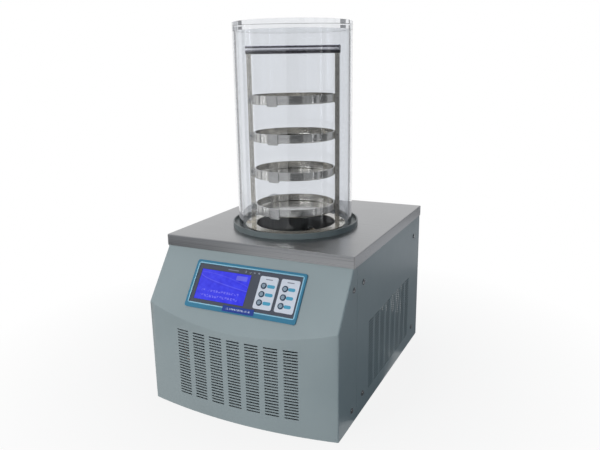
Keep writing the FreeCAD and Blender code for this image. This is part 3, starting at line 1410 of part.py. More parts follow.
def make_fan_blades():
    """Five-bladed axial fan."""
    hub, tip, bore = value("fan_hub"), value("fan_tip"), value("shaft_radius + shaft_gap")
    chord, sheet_, pitch = value("fan_chord"), value("blade_sheet"), value("blade_pitch")
    count, depth = int(value("fan_blades")), value("hub_depth")
    body = Part.makeCylinder(hub, depth, Vector(0, 0, -depth / 2))
    blades = []
    for index in range(count):
        blade = Part.makeBox(2 * tip, chord, sheet_, Vector(0, -chord / 2, -sheet_ / 2))
        blade.rotate(Vector(), Vector(1, 0, 0), pitch)
        blade.rotate(Vector(), Vector(0, 0, 1), index * 360 / count)
        blades.append(blade)
    rotor = body.multiFuse(blades).common(Part.makeCylinder(tip, 2 * chord, Vector(0, 0, -chord)))
    rotor = rotor.cut(Part.makeCylinder(bore, depth, Vector(0, 0, 2 - depth / 2)))
    rotor.Placement = Placement(Vector(0, value(FAN_MIDDLE), value(FAN_UP)), TURNS["y"])
    return shaped("fan_blades", rotor)


# ---------------------------------------------------------------- pipes and rear fittings
def make_vacuum_pipe():
    """Pipe from the trap's wall to the pump port, with its recessed flange and the gauge stub."""
    start, end = f"({JAR} + trap_bore - pipe_wall)", f"({PLATE} + top_depth + rear_reach)"
    length, inner = f"({end} - {start})", "(pipe_radius - pipe_wall)"
    outer = rod("pipe_outer", "pipe_radius", length, ("0", start, PIPE_UP), "y")
    bore = rod("pipe_bore", inner, f"{length} + 2", ("0", f"{start} - 1", PIPE_UP), "y")
    rim = [(inner, "-port_cone - port_rim"), ("pipe_radius", "-port_cone - port_rim"), ("port_flange", "-port_rim"),
           ("port_flange", "0"), (inner, "0")]
    flange = turned("pipe_flange", rim, ("0", end, PIPE_UP), "y")
    stub = rod("pipe_stub", "stub_radius", "pipe_radius + stub_drop", ("0", SENSOR_Y, STUB_LOW))
    seat = rod("pipe_seat", "port_seat", "seat_depth + 1", ("0", f"{end} - seat_depth", PIPE_UP), "y")
    return cut("vacuum_pipe", fuse("pipe_blank", [outer, flange, stub]), [bore, seat])


def make_sensor():
    """Vacuum gauge head under the pipe."""
    side, edge, high = "sensor_radius", "sensor_edge", "sensor_height"
    profile = [("0", "0"), (f"{side} - {edge}", "0"), (side, edge), (side, f"{high} - 2 * {edge}"),
               (f"{side} - {edge}", f"{high} - {edge}"), (f"{side} - {edge}", high), ("0", high)]
    return turned("vacuum_sensor", profile, ("0", SENSOR_Y, f"{STUB_LOW} - sensor_height"))


def make_drain():
    """Drain pipe from the trap to the valve at the back."""
    route = [("0", JAR, STUB_END), ("0", JAR, DRAIN_UP), ("0", VALVE_FRONT, DRAIN_UP)]
    return tube("drain_pipe", route, "drain_radius", "drain_bore", "drain_bend")


def make_drain_valve():
    """Plug valve behind the rear sheet; its spout and stem boss pass through the sheet."""
    side, behind, stem = "valve_side", f"({BACK} - sheet)", f"({DRAIN_UP} + valve_side)"
    block = box("valve_block", (side, f"{behind} - {VALVE_FRONT}", f"2 * {side}"),
                (f"-{side} / 2", VALVE_FRONT, f"{DRAIN_UP} - {side} / 2"))
    spout = rod("valve_spout", "spout_radius", "sheet + spout_reach", ("0", behind, DRAIN_UP), "y")
    boss = rod("valve_boss", "boss_radius", "sheet + boss_reach", ("0", behind, stem), "y")
    along = "valve_depth + sheet + 2 * spout_reach"
    flow = rod("valve_flow", "drain_bore", along, ("0", f"{VALVE_FRONT} - 1", DRAIN_UP), "y")
    socket = rod("valve_socket", "shaft_radius + shaft_gap", "stem_depth + sheet + spout_reach",
                 ("0", f"{behind} - stem_depth", stem), "y")
    return cut("drain_valve", fuse("valve_blank", [block, spout, boss]), [flow, socket])


def make_drain_lever():
    """Lever of the drain valve on its stem."""
    face, stem = f"({BACK} + boss_reach + lever_gap)", f"({DRAIN_UP} + valve_side)"
    bottom = f"({BACK} - sheet - stem_depth + lever_gap)"
    hub = rod("lever_hub", "lever_hub", "lever_sheet + boss_reach", ("0", face, stem), "y")
    pin = rod("lever_stem", "shaft_radius", f"{face} - {bottom}", ("0", bottom, stem), "y")
    arm = box("lever_arm", ("lever_reach", "lever_sheet", "lever_width"),
              ("0", f"{face} + boss_reach", f"{stem} - lever_width / 2"))
    return fuse("drain_lever", [hub, pin, arm])


def make_power_entry():
    """Power inlet and switch housing set in the rear sheet."""
    face = box("entry_face", ("entry_width", "entry_rim", "entry_height"), ("entry_left", BACK, ENTRY_LOW))
    size = ("entry_width - 2 * entry_lap", "sheet + entry_depth", "entry_height - 2 * entry_shoulder")
    corner = ("entry_left + entry_lap", f"{BACK} - sheet - entry_depth", f"{ENTRY_LOW} + entry_shoulder")
    body = box("entry_body", size, corner)
    floor, low = f"({BACK} + entry_rim - inlet_depth)", f"({ENTRY_LOW} + inlet_up)"
    inlet = box("entry_inlet", ("inlet_width", "inlet_depth + 1", "inlet_height"),
                (f"{ENTRY_MIDDLE} - inlet_width / 2", floor, low))
    size = ("2", "inlet_depth - entry_rim", "4")
    pins = [box("entry_pin", size, (f"{ENTRY_MIDDLE} - 1 + {dx}", floor, f"{low} + {dz}"))
            for dx, dz in ((-7, 5), (0, 9), (7, 5))]
    side, tall = f"{ENTRY_MIDDLE} - rocker_width / 2 - 0.5", "(rocker_height + 3)"
    well = box("entry_well", ("rocker_width + 1", "inlet_depth + 1", tall),
               (side, floor, f"{ROCKER_UP} - {tall} / 2"))
    pivot = rod("entry_pivot", "rocker_pin + shaft_gap", "rocker_width + 2 * (rocker_pin + 1)",
                (f"{side} - rocker_pin - 0.5", ROCKER_Y, ROCKER_UP), "x")
    shell = cut("entry_shell", fuse("entry_blank", [face, body]), [inlet, well, pivot])
    return fuse("power_entry", [shell] + pins)


def make_rocker():
    """Rocker of the power switch on its two pivot pins, tilted as it rests when off."""
    half = "(rocker_height / 2)"
    points = [(f"-{half}", "-rocker_back"), (half, "-rocker_back"), (half, "rocker_end"), ("0", "rocker_crown"),
              (f"-{half}", "rocker_end")]
    key = slab("rocker_key", "XY_Plane", points, "rocker_width", "-rocker_width / 2")
    pins = rod("rocker_pins", "rocker_pin", "rocker_width + 2 * rocker_pin + 1",
               ("0", "0", "-rocker_width / 2 - rocker_pin - 0.5"))
    rocker = fuse("power_rocker", [key, pins])
    upright = Rotation(Vector(0, 1, 0), -90)
    rocker.Placement = Placement(Vector(), Rotation(Vector(1, 0, 0), -value("rocker_tilt")) * upright)
    return bind_place(rocker, (ENTRY_MIDDLE, ROCKER_Y, ROCKER_UP))


def make_power_supply():
    """Power supply and relay housing on the floor pan."""
    left, front, top = f"(supply_in - {POST_SIDE})", f"({PLATE} + supply_back)", f"{PAN_FLOOR} + supply_height"
    case = box("supply_case", ("supply_width", "supply_depth", "supply_height"), (left, front, PAN_FLOOR))
    fins = [box("supply_rib", ("rib_sheet", "supply_depth - 2 * rib_short", "rib_rise"),
                (f"{left} + {2 * index + 1} * supply_width / 10 - rib_sheet / 2", f"{front} + rib_short", top))
            for index in range(5)]
    return fuse("power_supply", [case] + fins)


# ---------------------------------------------------------------- the whole
def make_all():
    """Every sub-part, each under its own label."""
    heights = tray_heights()
    things = [
        make_feet(), make_base_pan(), make_front_panel(), side_panel("side_panel_right", 1),
        side_panel("side_panel_left", -1), make_rear_panel(), make_top_plate(),
        group("corner_posts", make_front_posts() + make_rear_posts()),
        make_cabinet_screws(),
        make_bezel(), make_overlay(), make_screen(), make_key_pad("keypad_left", "pad_one_left"),
        make_key_pad("keypad_right", "pad_two_left"), make_control_board(), make_name_plate(), make_lamps(),
        make_cold_trap(), make_coil(), make_jacket(), make_seal(), *make_jar(),
        make_rack_base(), make_leg("rack_leg_left", -1), make_leg("rack_leg_right", 1), make_handle(),
        make_rack_screws(), make_compressor(), make_mounts(), make_condenser(),
        make_drier(), *make_lines(), make_fan_shroud(), make_fan_motor(), make_fan_blades(),
        make_vacuum_pipe(), make_sensor(), make_drain(), make_drain_valve(), make_drain_lever(),
        make_power_entry(), make_rocker(), make_power_supply(),
    ]
    things += [make_button(number, place) for number, place in enumerate(button_places(), start=1)]
    things += [make_tray_holder(number, low) for number, low in enumerate(heights, start=1)]
    things += [make_tray(number, low) for number, low in enumerate(heights, start=1)]
    return things


def check(things):
    """Stop where an object failed to compute or a sub-part has no sound shape."""
    faults = [thing.Label for thing in doc.Objects if {"Invalid", "Error"} & set(thing.State)]
    for thing in things:
        shape = thing.Shape
        if shape.isNull() or not shape.isValid() or not shape.Solids or shape.Volume <= 0:
            faults.append(f"{thing.Label} (shape)")
    if faults:
        raise RuntimeError("failed: " + ", ".join(faults))


def main():
    """Build, check and write every sub-part."""
    things = make_all()
    doc.recompute()
    check(things)
    os.makedirs("parts", exist_ok=True)
    for thing in things:
        thing.Shape.exportStep(f"parts/{thing.Label}.step")
    print(f"{len(things)} sub-parts written")


main()
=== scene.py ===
"""Dressed studio scene of a bench-top freeze dryer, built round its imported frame.

Lengths are metres in the frame's own axes: X to the right, Y to the back, Z up.
"""

import itertools
import json
import logging
import math
from dataclasses import dataclass
from enum import Enum
from typing import ClassVar

import bmesh
import bpy
from mathutils import Matrix, Vector

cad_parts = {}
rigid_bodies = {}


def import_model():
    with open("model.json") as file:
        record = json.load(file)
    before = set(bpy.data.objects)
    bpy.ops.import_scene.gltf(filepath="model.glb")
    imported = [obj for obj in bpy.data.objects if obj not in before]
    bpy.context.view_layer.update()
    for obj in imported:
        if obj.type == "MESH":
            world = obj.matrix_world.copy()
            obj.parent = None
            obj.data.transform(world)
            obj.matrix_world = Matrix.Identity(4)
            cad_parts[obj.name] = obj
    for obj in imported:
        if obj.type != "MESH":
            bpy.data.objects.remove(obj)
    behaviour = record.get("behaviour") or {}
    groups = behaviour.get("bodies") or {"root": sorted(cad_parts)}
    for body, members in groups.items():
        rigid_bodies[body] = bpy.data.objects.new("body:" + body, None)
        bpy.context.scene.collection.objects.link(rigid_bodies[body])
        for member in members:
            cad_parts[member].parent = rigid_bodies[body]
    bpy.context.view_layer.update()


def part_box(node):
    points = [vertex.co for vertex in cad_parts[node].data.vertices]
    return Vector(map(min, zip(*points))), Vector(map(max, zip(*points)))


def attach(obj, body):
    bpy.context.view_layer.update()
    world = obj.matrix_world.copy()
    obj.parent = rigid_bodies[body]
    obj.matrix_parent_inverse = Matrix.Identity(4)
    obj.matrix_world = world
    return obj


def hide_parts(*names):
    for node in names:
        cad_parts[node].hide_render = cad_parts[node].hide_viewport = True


LOG = logging.getLogger("freeze_dryer")
Point = tuple[float, float]
Colour = tuple[float, float, float, float]
WHITE = (1.0, 1.0, 1.0, 1.0)


# ------------------------------------------------------------------ shader graph
def tone(code: str, share: float = 1.0) -> Colour:
    """Turn a six-digit display colour into a linear one.

    Args:
        code: red, green and blue in hexadecimal.
        share: what is left of its light.

    Returns:
        The linear colour.
    """
    parts = [int(code[i:i + 2], 16) / 255 for i in (0, 2, 4)]
    red, green, blue = (p / 12.92 if p <= 0.04045 else ((p + 0.055) / 1.055) ** 2.4 for p in parts)
    return (red * share, green * share, blue * share, 1.0)


class Signal:
    """One value running through a node tree, with arithmetic on it."""

    def __init__(self, graph: "Graph", socket: bpy.types.NodeSocket) -> None:
        """Keep the tree and the socket that the value leaves by."""
        self.graph = graph
        self.socket = socket

    def __add__(self, other: "Signal | float") -> "Signal":
        """Sum."""
        return self.graph.math("ADD", self, other)

    def __sub__(self, other: "Signal | float") -> "Signal":
        """Difference."""
        return self.graph.math("SUBTRACT", self, other)

    def __mul__(self, other: "Signal | float") -> "Signal":
        """Product."""
        return self.graph.math("MULTIPLY", self, other)

    def __truediv__(self, other: "Signal | float") -> "Signal":
        """Quotient."""
        return self.graph.math("DIVIDE", self, other)

    __radd__ = __add__
    __rmul__ = __mul__

    def __abs__(self) -> "Signal":
        """Size without its sign."""
        return self.graph.math("ABSOLUTE", self)

    def top(self, other: "Signal | float") -> "Signal":
        """Greater of two values."""
        return self.graph.math("MAXIMUM", self, other)

    def low(self, other: "Signal | float") -> "Signal":
        """Lesser of two values."""
        return self.graph.math("MINIMUM", self, other)

    def step(self, start: float, end: float) -> "Signal":
        """Ramp from 0 at start to 1 at end, held at both ends; end may be the lower.

        Args:
            start: where the ramp is 0.
            end: where it is 1.

        Returns:
            The ramp.
        """
        node = self.graph.add("ShaderNodeMapRange", {"clamp": True}, {
            "Value": self, "From Min": start, "From Max": end, "To Min": 0.0, "To Max": 1.0})
        return self.graph.out(node)


class Graph:
    """Node tree of one material or of the world."""

    def __init__(self, tree: bpy.types.NodeTree) -> None:
        """Start with an empty tree."""
        self.tree = tree
        tree.nodes.clear()

    def add(self, kind: str, settings: dict | None = None, inputs: dict | None = None) -> bpy.types.Node:
        """Add one node of any kind.

        Args:
            kind: the node's type.
            settings: its own settings, set first.
            inputs: socket name or number to a value or a Signal.

        Returns:
            The node.
        """
        node = self.tree.nodes.new(kind)
        for name, setting in (settings or {}).items():
            setattr(node, name, setting)
        for key, item in (inputs or {}).items():
            if isinstance(item, Signal):
                self.tree.links.new(item.socket, node.inputs[key])
            else:
                node.inputs[key].default_value = item
        return node

    def out(self, node: bpy.types.Node, key: int | str = 0) -> Signal:
        """Signal that leaves a node."""
        return Signal(self, node.outputs[key])

    def math(self, operation: str, *terms: "Signal | float") -> Signal:
        """Math node on up to three terms."""
        return self.out(self.add("ShaderNodeMath", {"operation": operation}, dict(enumerate(terms))))

    def mix(self, factor: "Signal | float", first: "Signal | Colour", second: "Signal | Colour") -> Signal:
        """Colour between two colours."""
        node = self.add("ShaderNodeMix", {"data_type": "RGBA"}, {0: factor, 6: first, 7: second})
        return self.out(node, 2)

    def uneven(self, code: str, share: float, pattern: Signal, low: float = 0.3, high: float = 0.7) -> Signal:
        """Colour of a code where a pattern is over high, and a share of its light where it is under low."""
        return self.mix(pattern.step(low, high), tone(code, share), tone(code))

    def place(self) -> Signal:
        """Place on the piece, in metres of the frame."""
        return self.out(self.add("ShaderNodeTexCoord"), "Object")

    def axes(self, vector: Signal) -> tuple[Signal, Signal, Signal]:
        """Parts of a vector."""
        node = self.add("ShaderNodeSeparateXYZ", None, {0: vector})
        return self.out(node, 0), self.out(node, 1), self.out(node, 2)

    def stretched(self, scale: tuple[float, float, float]) -> Signal:
        """Place on the piece, scaled by axis."""
        return self.out(self.add("ShaderNodeMapping", None, {"Vector": self.place(), "Scale": scale}))

    def noise(self, scale: float, detail: float = 2.0, vector: Signal | None = None) -> Signal:
        """Noise from 0 to 1, by default over the place on the piece.

        Args:
            scale: how fine it is; more is finer.
            detail: how many finer layers lie over it.
            vector: where it is read, if not at the place on the piece.

        Returns:
            The noise.
        """
        node = self.add("ShaderNodeTexNoise", None, {
            "Vector": vector or self.place(), "Scale": scale, "Detail": detail})
        return self.out(node, 0)

    def bump(self, height: Signal, distance: float, strength: float = 1.0) -> Signal:
        """Normal bent by a height; distance is metres for a height of 1."""
        return self.out(self.add("ShaderNodeBump", None, {
            "Height": height, "Distance": distance, "Strength": strength}))

    def plate_mask(self, across: Signal, along: Signal, half: Point, corner: float, soft: float) -> Signal:
        """Mask of a rounded rectangle round the origin.

        Args:
            across: first coordinate.
            along: second coordinate.
            half: half sizes along both.
            corner: corner radius.
            soft: width of the mask's edge.

        Returns:
            1 inside, 0 outside.
        """
        over = abs(across) - (half[0] - corner)
        past = abs(along) - (half[1] - corner)
        squares = over.top(0.0) * over.top(0.0) + past.top(0.0) * past.top(0.0)
        distance = self.math("SQRT", squares) + over.top(past).low(0.0) - corner
        return distance.step(soft / 2, -soft / 2)


# ------------------------------------------------------------------ finishes
@dataclass(frozen=True)
class Finish:
    """One surface finish; each kind gives the inputs of its shader."""

    name: str

    def inputs(self, graph: Graph) -> dict:
        """Inputs of the surface shader."""
        raise NotImplementedError

    def material(self) -> bpy.types.Material:
        """Material of this finish, made once.

        Returns:
            The material.
        """
        made = bpy.data.materials.get(self.name)
        if made is None:
            made = bpy.data.materials.new(self.name)
            made.use_nodes = True
            graph = Graph(made.node_tree)
            shader = graph.add("ShaderNodeBsdfPrincipled", None, self.inputs(graph))
            graph.add("ShaderNodeOutputMaterial", None, {"Surface": graph.out(shader)})
        return made


@dataclass(frozen=True)
class StovedPaint(Finish):
    """Stoved enamel with a faint orange peel and slight unevenness."""

    colour: str = "949fa1"
    gloss: float = 0.4
    coat: float = 0.15

    def inputs(self, graph: Graph) -> dict:
        """Inputs of the surface shader.

        Args:
            graph: the material's node tree.

        Returns:
            Its sockets' names and what feeds them.
        """
        peel = graph.noise(900.0, 2.0)
        return {
            "Base Color": graph.uneven(self.colour, 0.93, graph.noise(7.0, 3.0)),
            "Roughness": graph.noise(40.0, 2.0) * 0.1 + (self.gloss - 0.05),
            "Coat Weight": self.coat,
            "Coat Roughness": 0.18,
            "Normal": graph.bump(peel, 0.00003, 0.6),
        }


@dataclass(frozen=True)
class BrushedSteel(Finish):
    """Stainless sheet with fine parallel brush lines."""

    colour: str = "b9b9bb"
    grain: tuple[float, float, float] = (4.0, 900.0, 900.0)
    rough: float = 0.3
    depth: float = 0.00002

    def inputs(self, graph: Graph) -> dict:
        """Inputs of the surface shader.

        Args:
            graph: the material's node tree.

        Returns:
            Its sockets' names and what feeds them.
        """
        lines = graph.noise(1.0, 3.0, graph.stretched(self.grain))
        broad = graph.noise(5.0, 2.0)
        return {
            "Base Color": graph.uneven(self.colour, 0.76, lines),
            "Metallic": 1.0,
            "Roughness": lines * 0.12 + broad * 0.06 + (self.rough - 0.09),
            "Normal": graph.bump(lines, self.depth, 0.5),
        }


@dataclass(frozen=True)
class PolishedSteel(Finish):
    """Bright rolled or turned steel with faint rubbing marks."""

    colour: str = "c8c6c2"
    rough: float = 0.14

    def inputs(self, graph: Graph) -> dict:
        """Inputs of the surface shader.

        Args:
            graph: the material's node tree.

        Returns:
            Its sockets' names and what feeds them.
        """
        marks = graph.noise(1.0, 3.0, graph.stretched((30.0, 30.0, 700.0)))
        return {
            "Base Color": graph.uneven(self.colour, 0.85, marks, 0.35),
            "Metallic": 1.0,
            "Roughness": marks * 0.1 + (self.rough - 0.05),
            "Normal": graph.bump(marks, 0.000008, 0.4),
        }


@dataclass(frozen=True)
class HandleSteelWithPaintedReflection(PolishedSteel):
    """Polished bar with a painted reflection: a bright line of light between two dark bands, painted into its
    colour by height.

    Attributes:
        low: height of its underside.
        high: height of its top.
        dark: colour of the painted dark bands of its reflection.
        bright: where the painted bright line of its reflection lies, as a share of the height.
    """

    low: float = 0.0
    high: float = 1.0
    dark: str = "35343c"
    bright: float = 0.52

    def inputs(self, graph: Graph) -> dict:
        """Inputs of the surface shader.

        Args:
            graph: the material's node tree.

        Returns:
            Its sockets' names and what feeds them.
        """
        made = super().inputs(graph)
        _, _, z = graph.axes(graph.place())
        share = (z - self.low) / (self.high - self.low)
        # painted reflection: dark bands, with a bright line at the middle and along the top, set by height
        line = abs(share - self.bright).step(0.2, 0.1).top(share.step(0.9, 0.97))
        made["Base Color"] = graph.mix(line, tone(self.dark), made["Base Color"])
        return made


@dataclass(frozen=True)
class Acrylic(Finish):
    """Clear cast acrylic."""

    tint: str = "f7fbfc"

    def inputs(self, graph: Graph) -> dict:
        """Inputs of the surface shader.

        Args:
            graph: the material's node tree.

        Returns:
            Its sockets' names and what feeds them.
        """
        haze = graph.noise(60.0, 3.0)
        return {
            "Base Color": tone(self.tint),
            "Roughness": haze.step(0.45, 0.8) * 0.02,
            "IOR": 1.49,
            "Transmission Weight": 1.0,
        }


@dataclass(frozen=True)
class Rubber(Finish):
    """Moulded rubber, dull with a fine grain."""

    colour: str = "4c585a"
    rough: float = 0.55

    def inputs(self, graph: Graph) -> dict:
        """Inputs of the surface shader.

        Args:
            graph: the material's node tree.

        Returns:
            Its sockets' names and what feeds them.
        """
        grain = graph.noise(600.0, 3.0)
        return {
            "Base Color": graph.uneven(self.colour, 0.8, graph.noise(30.0, 3.0)),
            "Roughness": grain * 0.16 + (self.rough - 0.08),
            "Normal": graph.bump(grain, 0.00004, 0.5),
        }


@dataclass(frozen=True)
class Moulded(Finish):
    """Moulded plastic, cast metal or foam in one colour with a grained skin."""

    colour: str = "20242a"
    rough: float = 0.4
    metal: float = 0.0
    grain: float = 500.0
    depth: float = 0.00003

    def inputs(self, graph: Graph) -> dict:
        """Inputs of the surface shader.

        Args:
            graph: the material's node tree.

        Returns:
            Its sockets' names and what feeds them.
        """
        grain = graph.noise(self.grain, 3.0)
        return {
            "Base Color": graph.uneven(self.colour, 0.82, graph.noise(25.0, 2.0)),
            "Metallic": self.metal,
            "Roughness": grain * 0.14 + (self.rough - 0.07),
            "Normal": graph.bump(grain, self.depth, 0.5),
        }


@dataclass(frozen=True)
class Slope:
    """The cabinet's sloped face: X across, s down it from its brow, out along its normal.

    Attributes:
        brow_y: depth of its upper edge.
        brow_z: height of that edge.
        run: how far forward the face comes.
        fall: how far down it goes.
    """

    brow_y: float
    brow_z: float
    run: float = 0.0806
    fall: float = 0.107

    @classmethod
    def under_plate(cls, sheet: float = 0.002, skirt: float = 0.025) -> "Slope":
        """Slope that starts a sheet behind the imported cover's front and a skirt below its top."""
        low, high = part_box("top_plate")
        return cls(low.y + sheet, high.z - skirt)

    @property
    def lean(self) -> Point:
        """Parts of the downward direction: how far forward and how far down."""
        length = math.hypot(self.run, self.fall)
        return self.run / length, self.fall / length

    def point(self, x: float, s: float, out: float = 0.0) -> Vector:
        """Place in the frame of a point on or over the face."""
        forward, down = self.lean
        return Vector((x, self.brow_y - s * forward - out * down, self.brow_z - s * down + out * forward))

    def turn(self) -> Matrix:
        """Rotation that takes X, up the slope and outwards to the frame's axes."""
        forward, down = self.lean
        return Matrix(((1, 0, 0), (0, forward, -down), (0, down, forward)))

    def shader_axes(self, graph: Graph) -> tuple[Signal, Signal]:
        """X and s, in millimetres, of the place being shaded.

        Args:
            graph: the material's node tree.

        Returns:
            Both coordinates.
        """
        forward, down = self.lean
        x, y, z = graph.axes(graph.place())
        s = (y - self.brow_y) * (-1000.0 * forward) - (z - self.brow_z) * (1000.0 * down)
        return x * 1000.0, s


@dataclass(frozen=True)
class BezelFinish(Finish):
    """Teal frame with a pale line printed round its opening; the line's sizes are millimetres."""

    slope: Slope
    colour: str = "357a98"
    line: str = "94c4d8"
    line_middle: float = 75.85
    line_half: Point = (126.3, 45.9)

    def inputs(self, graph: Graph) -> dict:
        """Inputs of the surface shader.

        Args:
            graph: the material's node tree.

        Returns:
            Its sockets' names and what feeds them.
        """
        x, s = self.slope.shader_axes(graph)
        ring = graph.plate_mask(x, s - self.line_middle, self.line_half, 5.0, 0.5)
        grain = graph.noise(400.0, 2.0)
        body = graph.uneven(self.colour, 0.9, graph.noise(20.0, 2.0))
        return {
            "Base Color": graph.mix(ring, body, tone(self.line)),
            "Roughness": grain * 0.1 + 0.28,
            "Normal": graph.bump(grain, 0.00002, 0.4),
        }


@dataclass(frozen=True)
class OverlayFinish(Finish):
    """Dark grey printed film with a bare bar by the lamps and a dark rim round the display."""

    slope: Slope
    colour: str = "474b57"
    mark: str = "8288a0"
    rim: str = "34375c"
    bar_middle: Point = (-39.0, 38.6)
    bar_half: Point = (13.0, 0.9)
    rim_middle: Point = (-54.3, 77.5)
    rim_half: Point = (61.2, 34.4)

    def inputs(self, graph: Graph) -> dict:
        """Inputs of the surface shader.

        Args:
            graph: the material's node tree.

        Returns:
            Its sockets' names and what feeds them.
        """
        x, s = self.slope.shader_axes(graph)
        bar = graph.plate_mask(x - self.bar_middle[0], s - self.bar_middle[1], self.bar_half, 0.8, 0.5)
        rim = graph.plate_mask(x - self.rim_middle[0], s - self.rim_middle[1], self.rim_half, 1.5, 0.6)
        grain = graph.noise(700.0, 2.0)
        body = graph.uneven(self.colour, 0.88, graph.noise(16.0, 3.0))
        dark = graph.mix(rim, body, tone(self.rim))
        return {
            "Base Color": graph.mix(bar, dark, tone(self.mark)),
            "Roughness": grain * 0.1 + 0.33,
            "Normal": graph.bump(grain, 0.00002, 0.4),
        }


@dataclass(frozen=True)
class KeyPadFinish(Finish):
    """White key field with a teal bar beside each of its three buttons.

    Attributes:
        slope: the face that carries it.
        bar_middle: where its bars lie across the face, in millimetres.
        bar_length: their length.
        heading: where the bare bar over the buttons lies.
        first_row: how far down the face its first button lies.
        pitch: from one button to the next.
        heading_row: how far down the bare bar lies.
        bar_colour: colour of the bars.
        head_colour: colour of the bare bar.
        ground: the field's colour, in its darker and its paler spots.
    """

    slope: Slope
    bar_middle: float
    bar_length: float
    heading: float
    first_row: float = 62.3
    pitch: float = 18.0
    heading_row: float = 48.2
    bar_colour: str = "4a9cbb"
    head_colour: str = "7c7f8c"
    ground: tuple[str, str] = ("c9cdd8", "dcdfe8")

    def inputs(self, graph: Graph) -> dict:
        """Inputs of the surface shader.

        Args:
            graph: the material's node tree.

        Returns:
            Its sockets' names and what feeds them.
        """
        x, s = self.slope.shader_axes(graph)
        row = graph.math("WRAP", s - self.first_row, self.pitch / 2, -self.pitch / 2)
        rows = s.step(52.0, 53.0) * s.step(108.5, 107.5)
        bars = graph.plate_mask(x - self.bar_middle, row, (self.bar_length / 2, 3.6), 3.4, 0.5) * rows
        head = graph.plate_mask(x - self.heading, s - self.heading_row, (8.0, 1.0), 0.9, 0.6)
        spots = graph.noise(900.0, 2.0)
        white = graph.mix(spots, *map(tone, self.ground))
        marked = graph.mix(head, white, tone(self.head_colour))
        return {
            "Base Color": graph.mix(bars, marked, tone(self.bar_colour)),
            "Roughness": spots * 0.1 + 0.3,
            "Normal": graph.bump(spots, 0.00001, 0.3),
        }


@dataclass(frozen=True)
class ScreenFinish(Finish):
    """Lit blue display with two pale falling curves, two rows of plain blocks and a corner block.

    Attributes:
        slope: the face that carries it; all sizes are millimetres on it.
        left: the display's left edge.
        width: its width.
        rows: how far down the face the rows of blocks lie.
        row_middle: where the rows' middle lies across the face.
        corner: middle of the corner block.
        glow: strength of its light.
        blues: its ground, in its darker and its brighter patches.
        drawing: colour of the curves and blocks.
        shadow: colour under the upper curve.
        block: colour of the corner block.
    """

    slope: Slope
    left: float = -114.3
    width: float = 120.0
    rows: Point = (90.0, 101.5)
    row_middle: float = -56.0
    corner: Point = (-14.0, 54.0)
    glow: float = 0.9
    blues: tuple[str, str] = ("2626dc", "3c42f4")
    drawing: str = "9a96ff"
    shadow: str = "2c28c8"
    block: str = "a0a0d8"

    def inputs(self, graph: Graph) -> dict:
        """Inputs of the surface shader.

        Args:
            graph: the material's node tree.

        Returns:
            Its sockets' names and what feeds them.
        """
        x, s = self.slope.shader_axes(graph)
        along = (x - self.left) / self.width
        curve = graph.math("POWER", along, 0.55) * 26.0 + 54.0
        second = graph.math("POWER", along, 2.0) * 20.0 + 50.0
        lines = (abs(s - curve)).step(1.3, 0.3).top(abs(s - second).step(1.1, 0.3) * 0.6)
        cell = graph.math("WRAP", x, 3.2, -3.2)
        cells = abs(cell).step(2.6, 2.2) * graph.noise(260.0, 0.0).step(0.42, 0.5)
        rows = abs(s - self.rows[0]).step(2.6, 2.0) + abs(s - self.rows[1]).step(3.0, 2.4)
        blocks = cells * rows * abs(x - self.row_middle).step(46.0, 44.0)
        corner = graph.plate_mask(x - self.corner[0], s - self.corner[1], (13.0, 5.0), 1.0, 1.0)
        mottle = graph.noise(90.0, 3.0)
        blue = graph.mix(mottle.step(0.25, 0.75), *map(tone, self.blues))
        drawn = graph.mix((lines * 0.5).top(blocks) * 0.42, blue, tone(self.drawing))
        dark = graph.mix(abs(s - curve - 3.0).step(2.4, 0.6) * 0.3, drawn, tone(self.shadow))
        lit = graph.mix(corner * 0.3, dark, tone(self.block))
        return {
            "Base Color": tone("0a0a30"),
            "Roughness": 0.22,
            "Emission Color": lit,
            "Emission Strength": self.glow,
        }


@dataclass(frozen=True)
class PlateFinish(Finish):
    """Blue plate with a row of plain pale marks."""

    slope: Slope
    colour: str = "1c3a8c"
    mark: str = "c4cce4"
    middle: float = 0.0
    line: float = 120.0
    cell: float = 4.2
    half_length: float = 28.0

    def inputs(self, graph: Graph) -> dict:
        """Inputs of the surface shader.

        Args:
            graph: the material's node tree.

        Returns:
            Its sockets' names and what feeds them.
        """
        x, s = self.slope.shader_axes(graph)
        cell = graph.math("WRAP", x, self.cell / 2, -self.cell / 2)
        cells = abs(cell).step(1.7, 1.3) * graph.noise(420.0, 1.0).step(0.44, 0.5)
        inside = abs(x - self.middle).step(self.half_length, self.half_length - 0.5)
        row = abs(s - self.line).step(2.0, 1.5) * inside
        spots = graph.noise(500.0, 2.0)
        return {
            "Base Color": graph.mix(cells * row * 0.8, tone(self.colour), tone(self.mark)),
            "Roughness": spots * 0.1 + 0.3,
            "Normal": graph.bump(spots, 0.00001, 0.3),
        }


@dataclass(frozen=True)
class LampFinish(Finish):
    """Small moulded lamps, mottled between a dark and a pale grey."""

    dark: str = "484d58"
    pale: str = "9a9fac"

    def inputs(self, graph: Graph) -> dict:
        """Inputs of the surface shader.

        Args:
            graph: the material's node tree.

        Returns:
            Its sockets' names and what feeds them.
        """
        spots = graph.noise(500.0, 2.0)
        return {
            "Base Color": graph.mix(spots.step(0.35, 0.65), tone(self.dark), tone(self.pale)),
            "Roughness": spots * 0.1 + 0.2,
        }


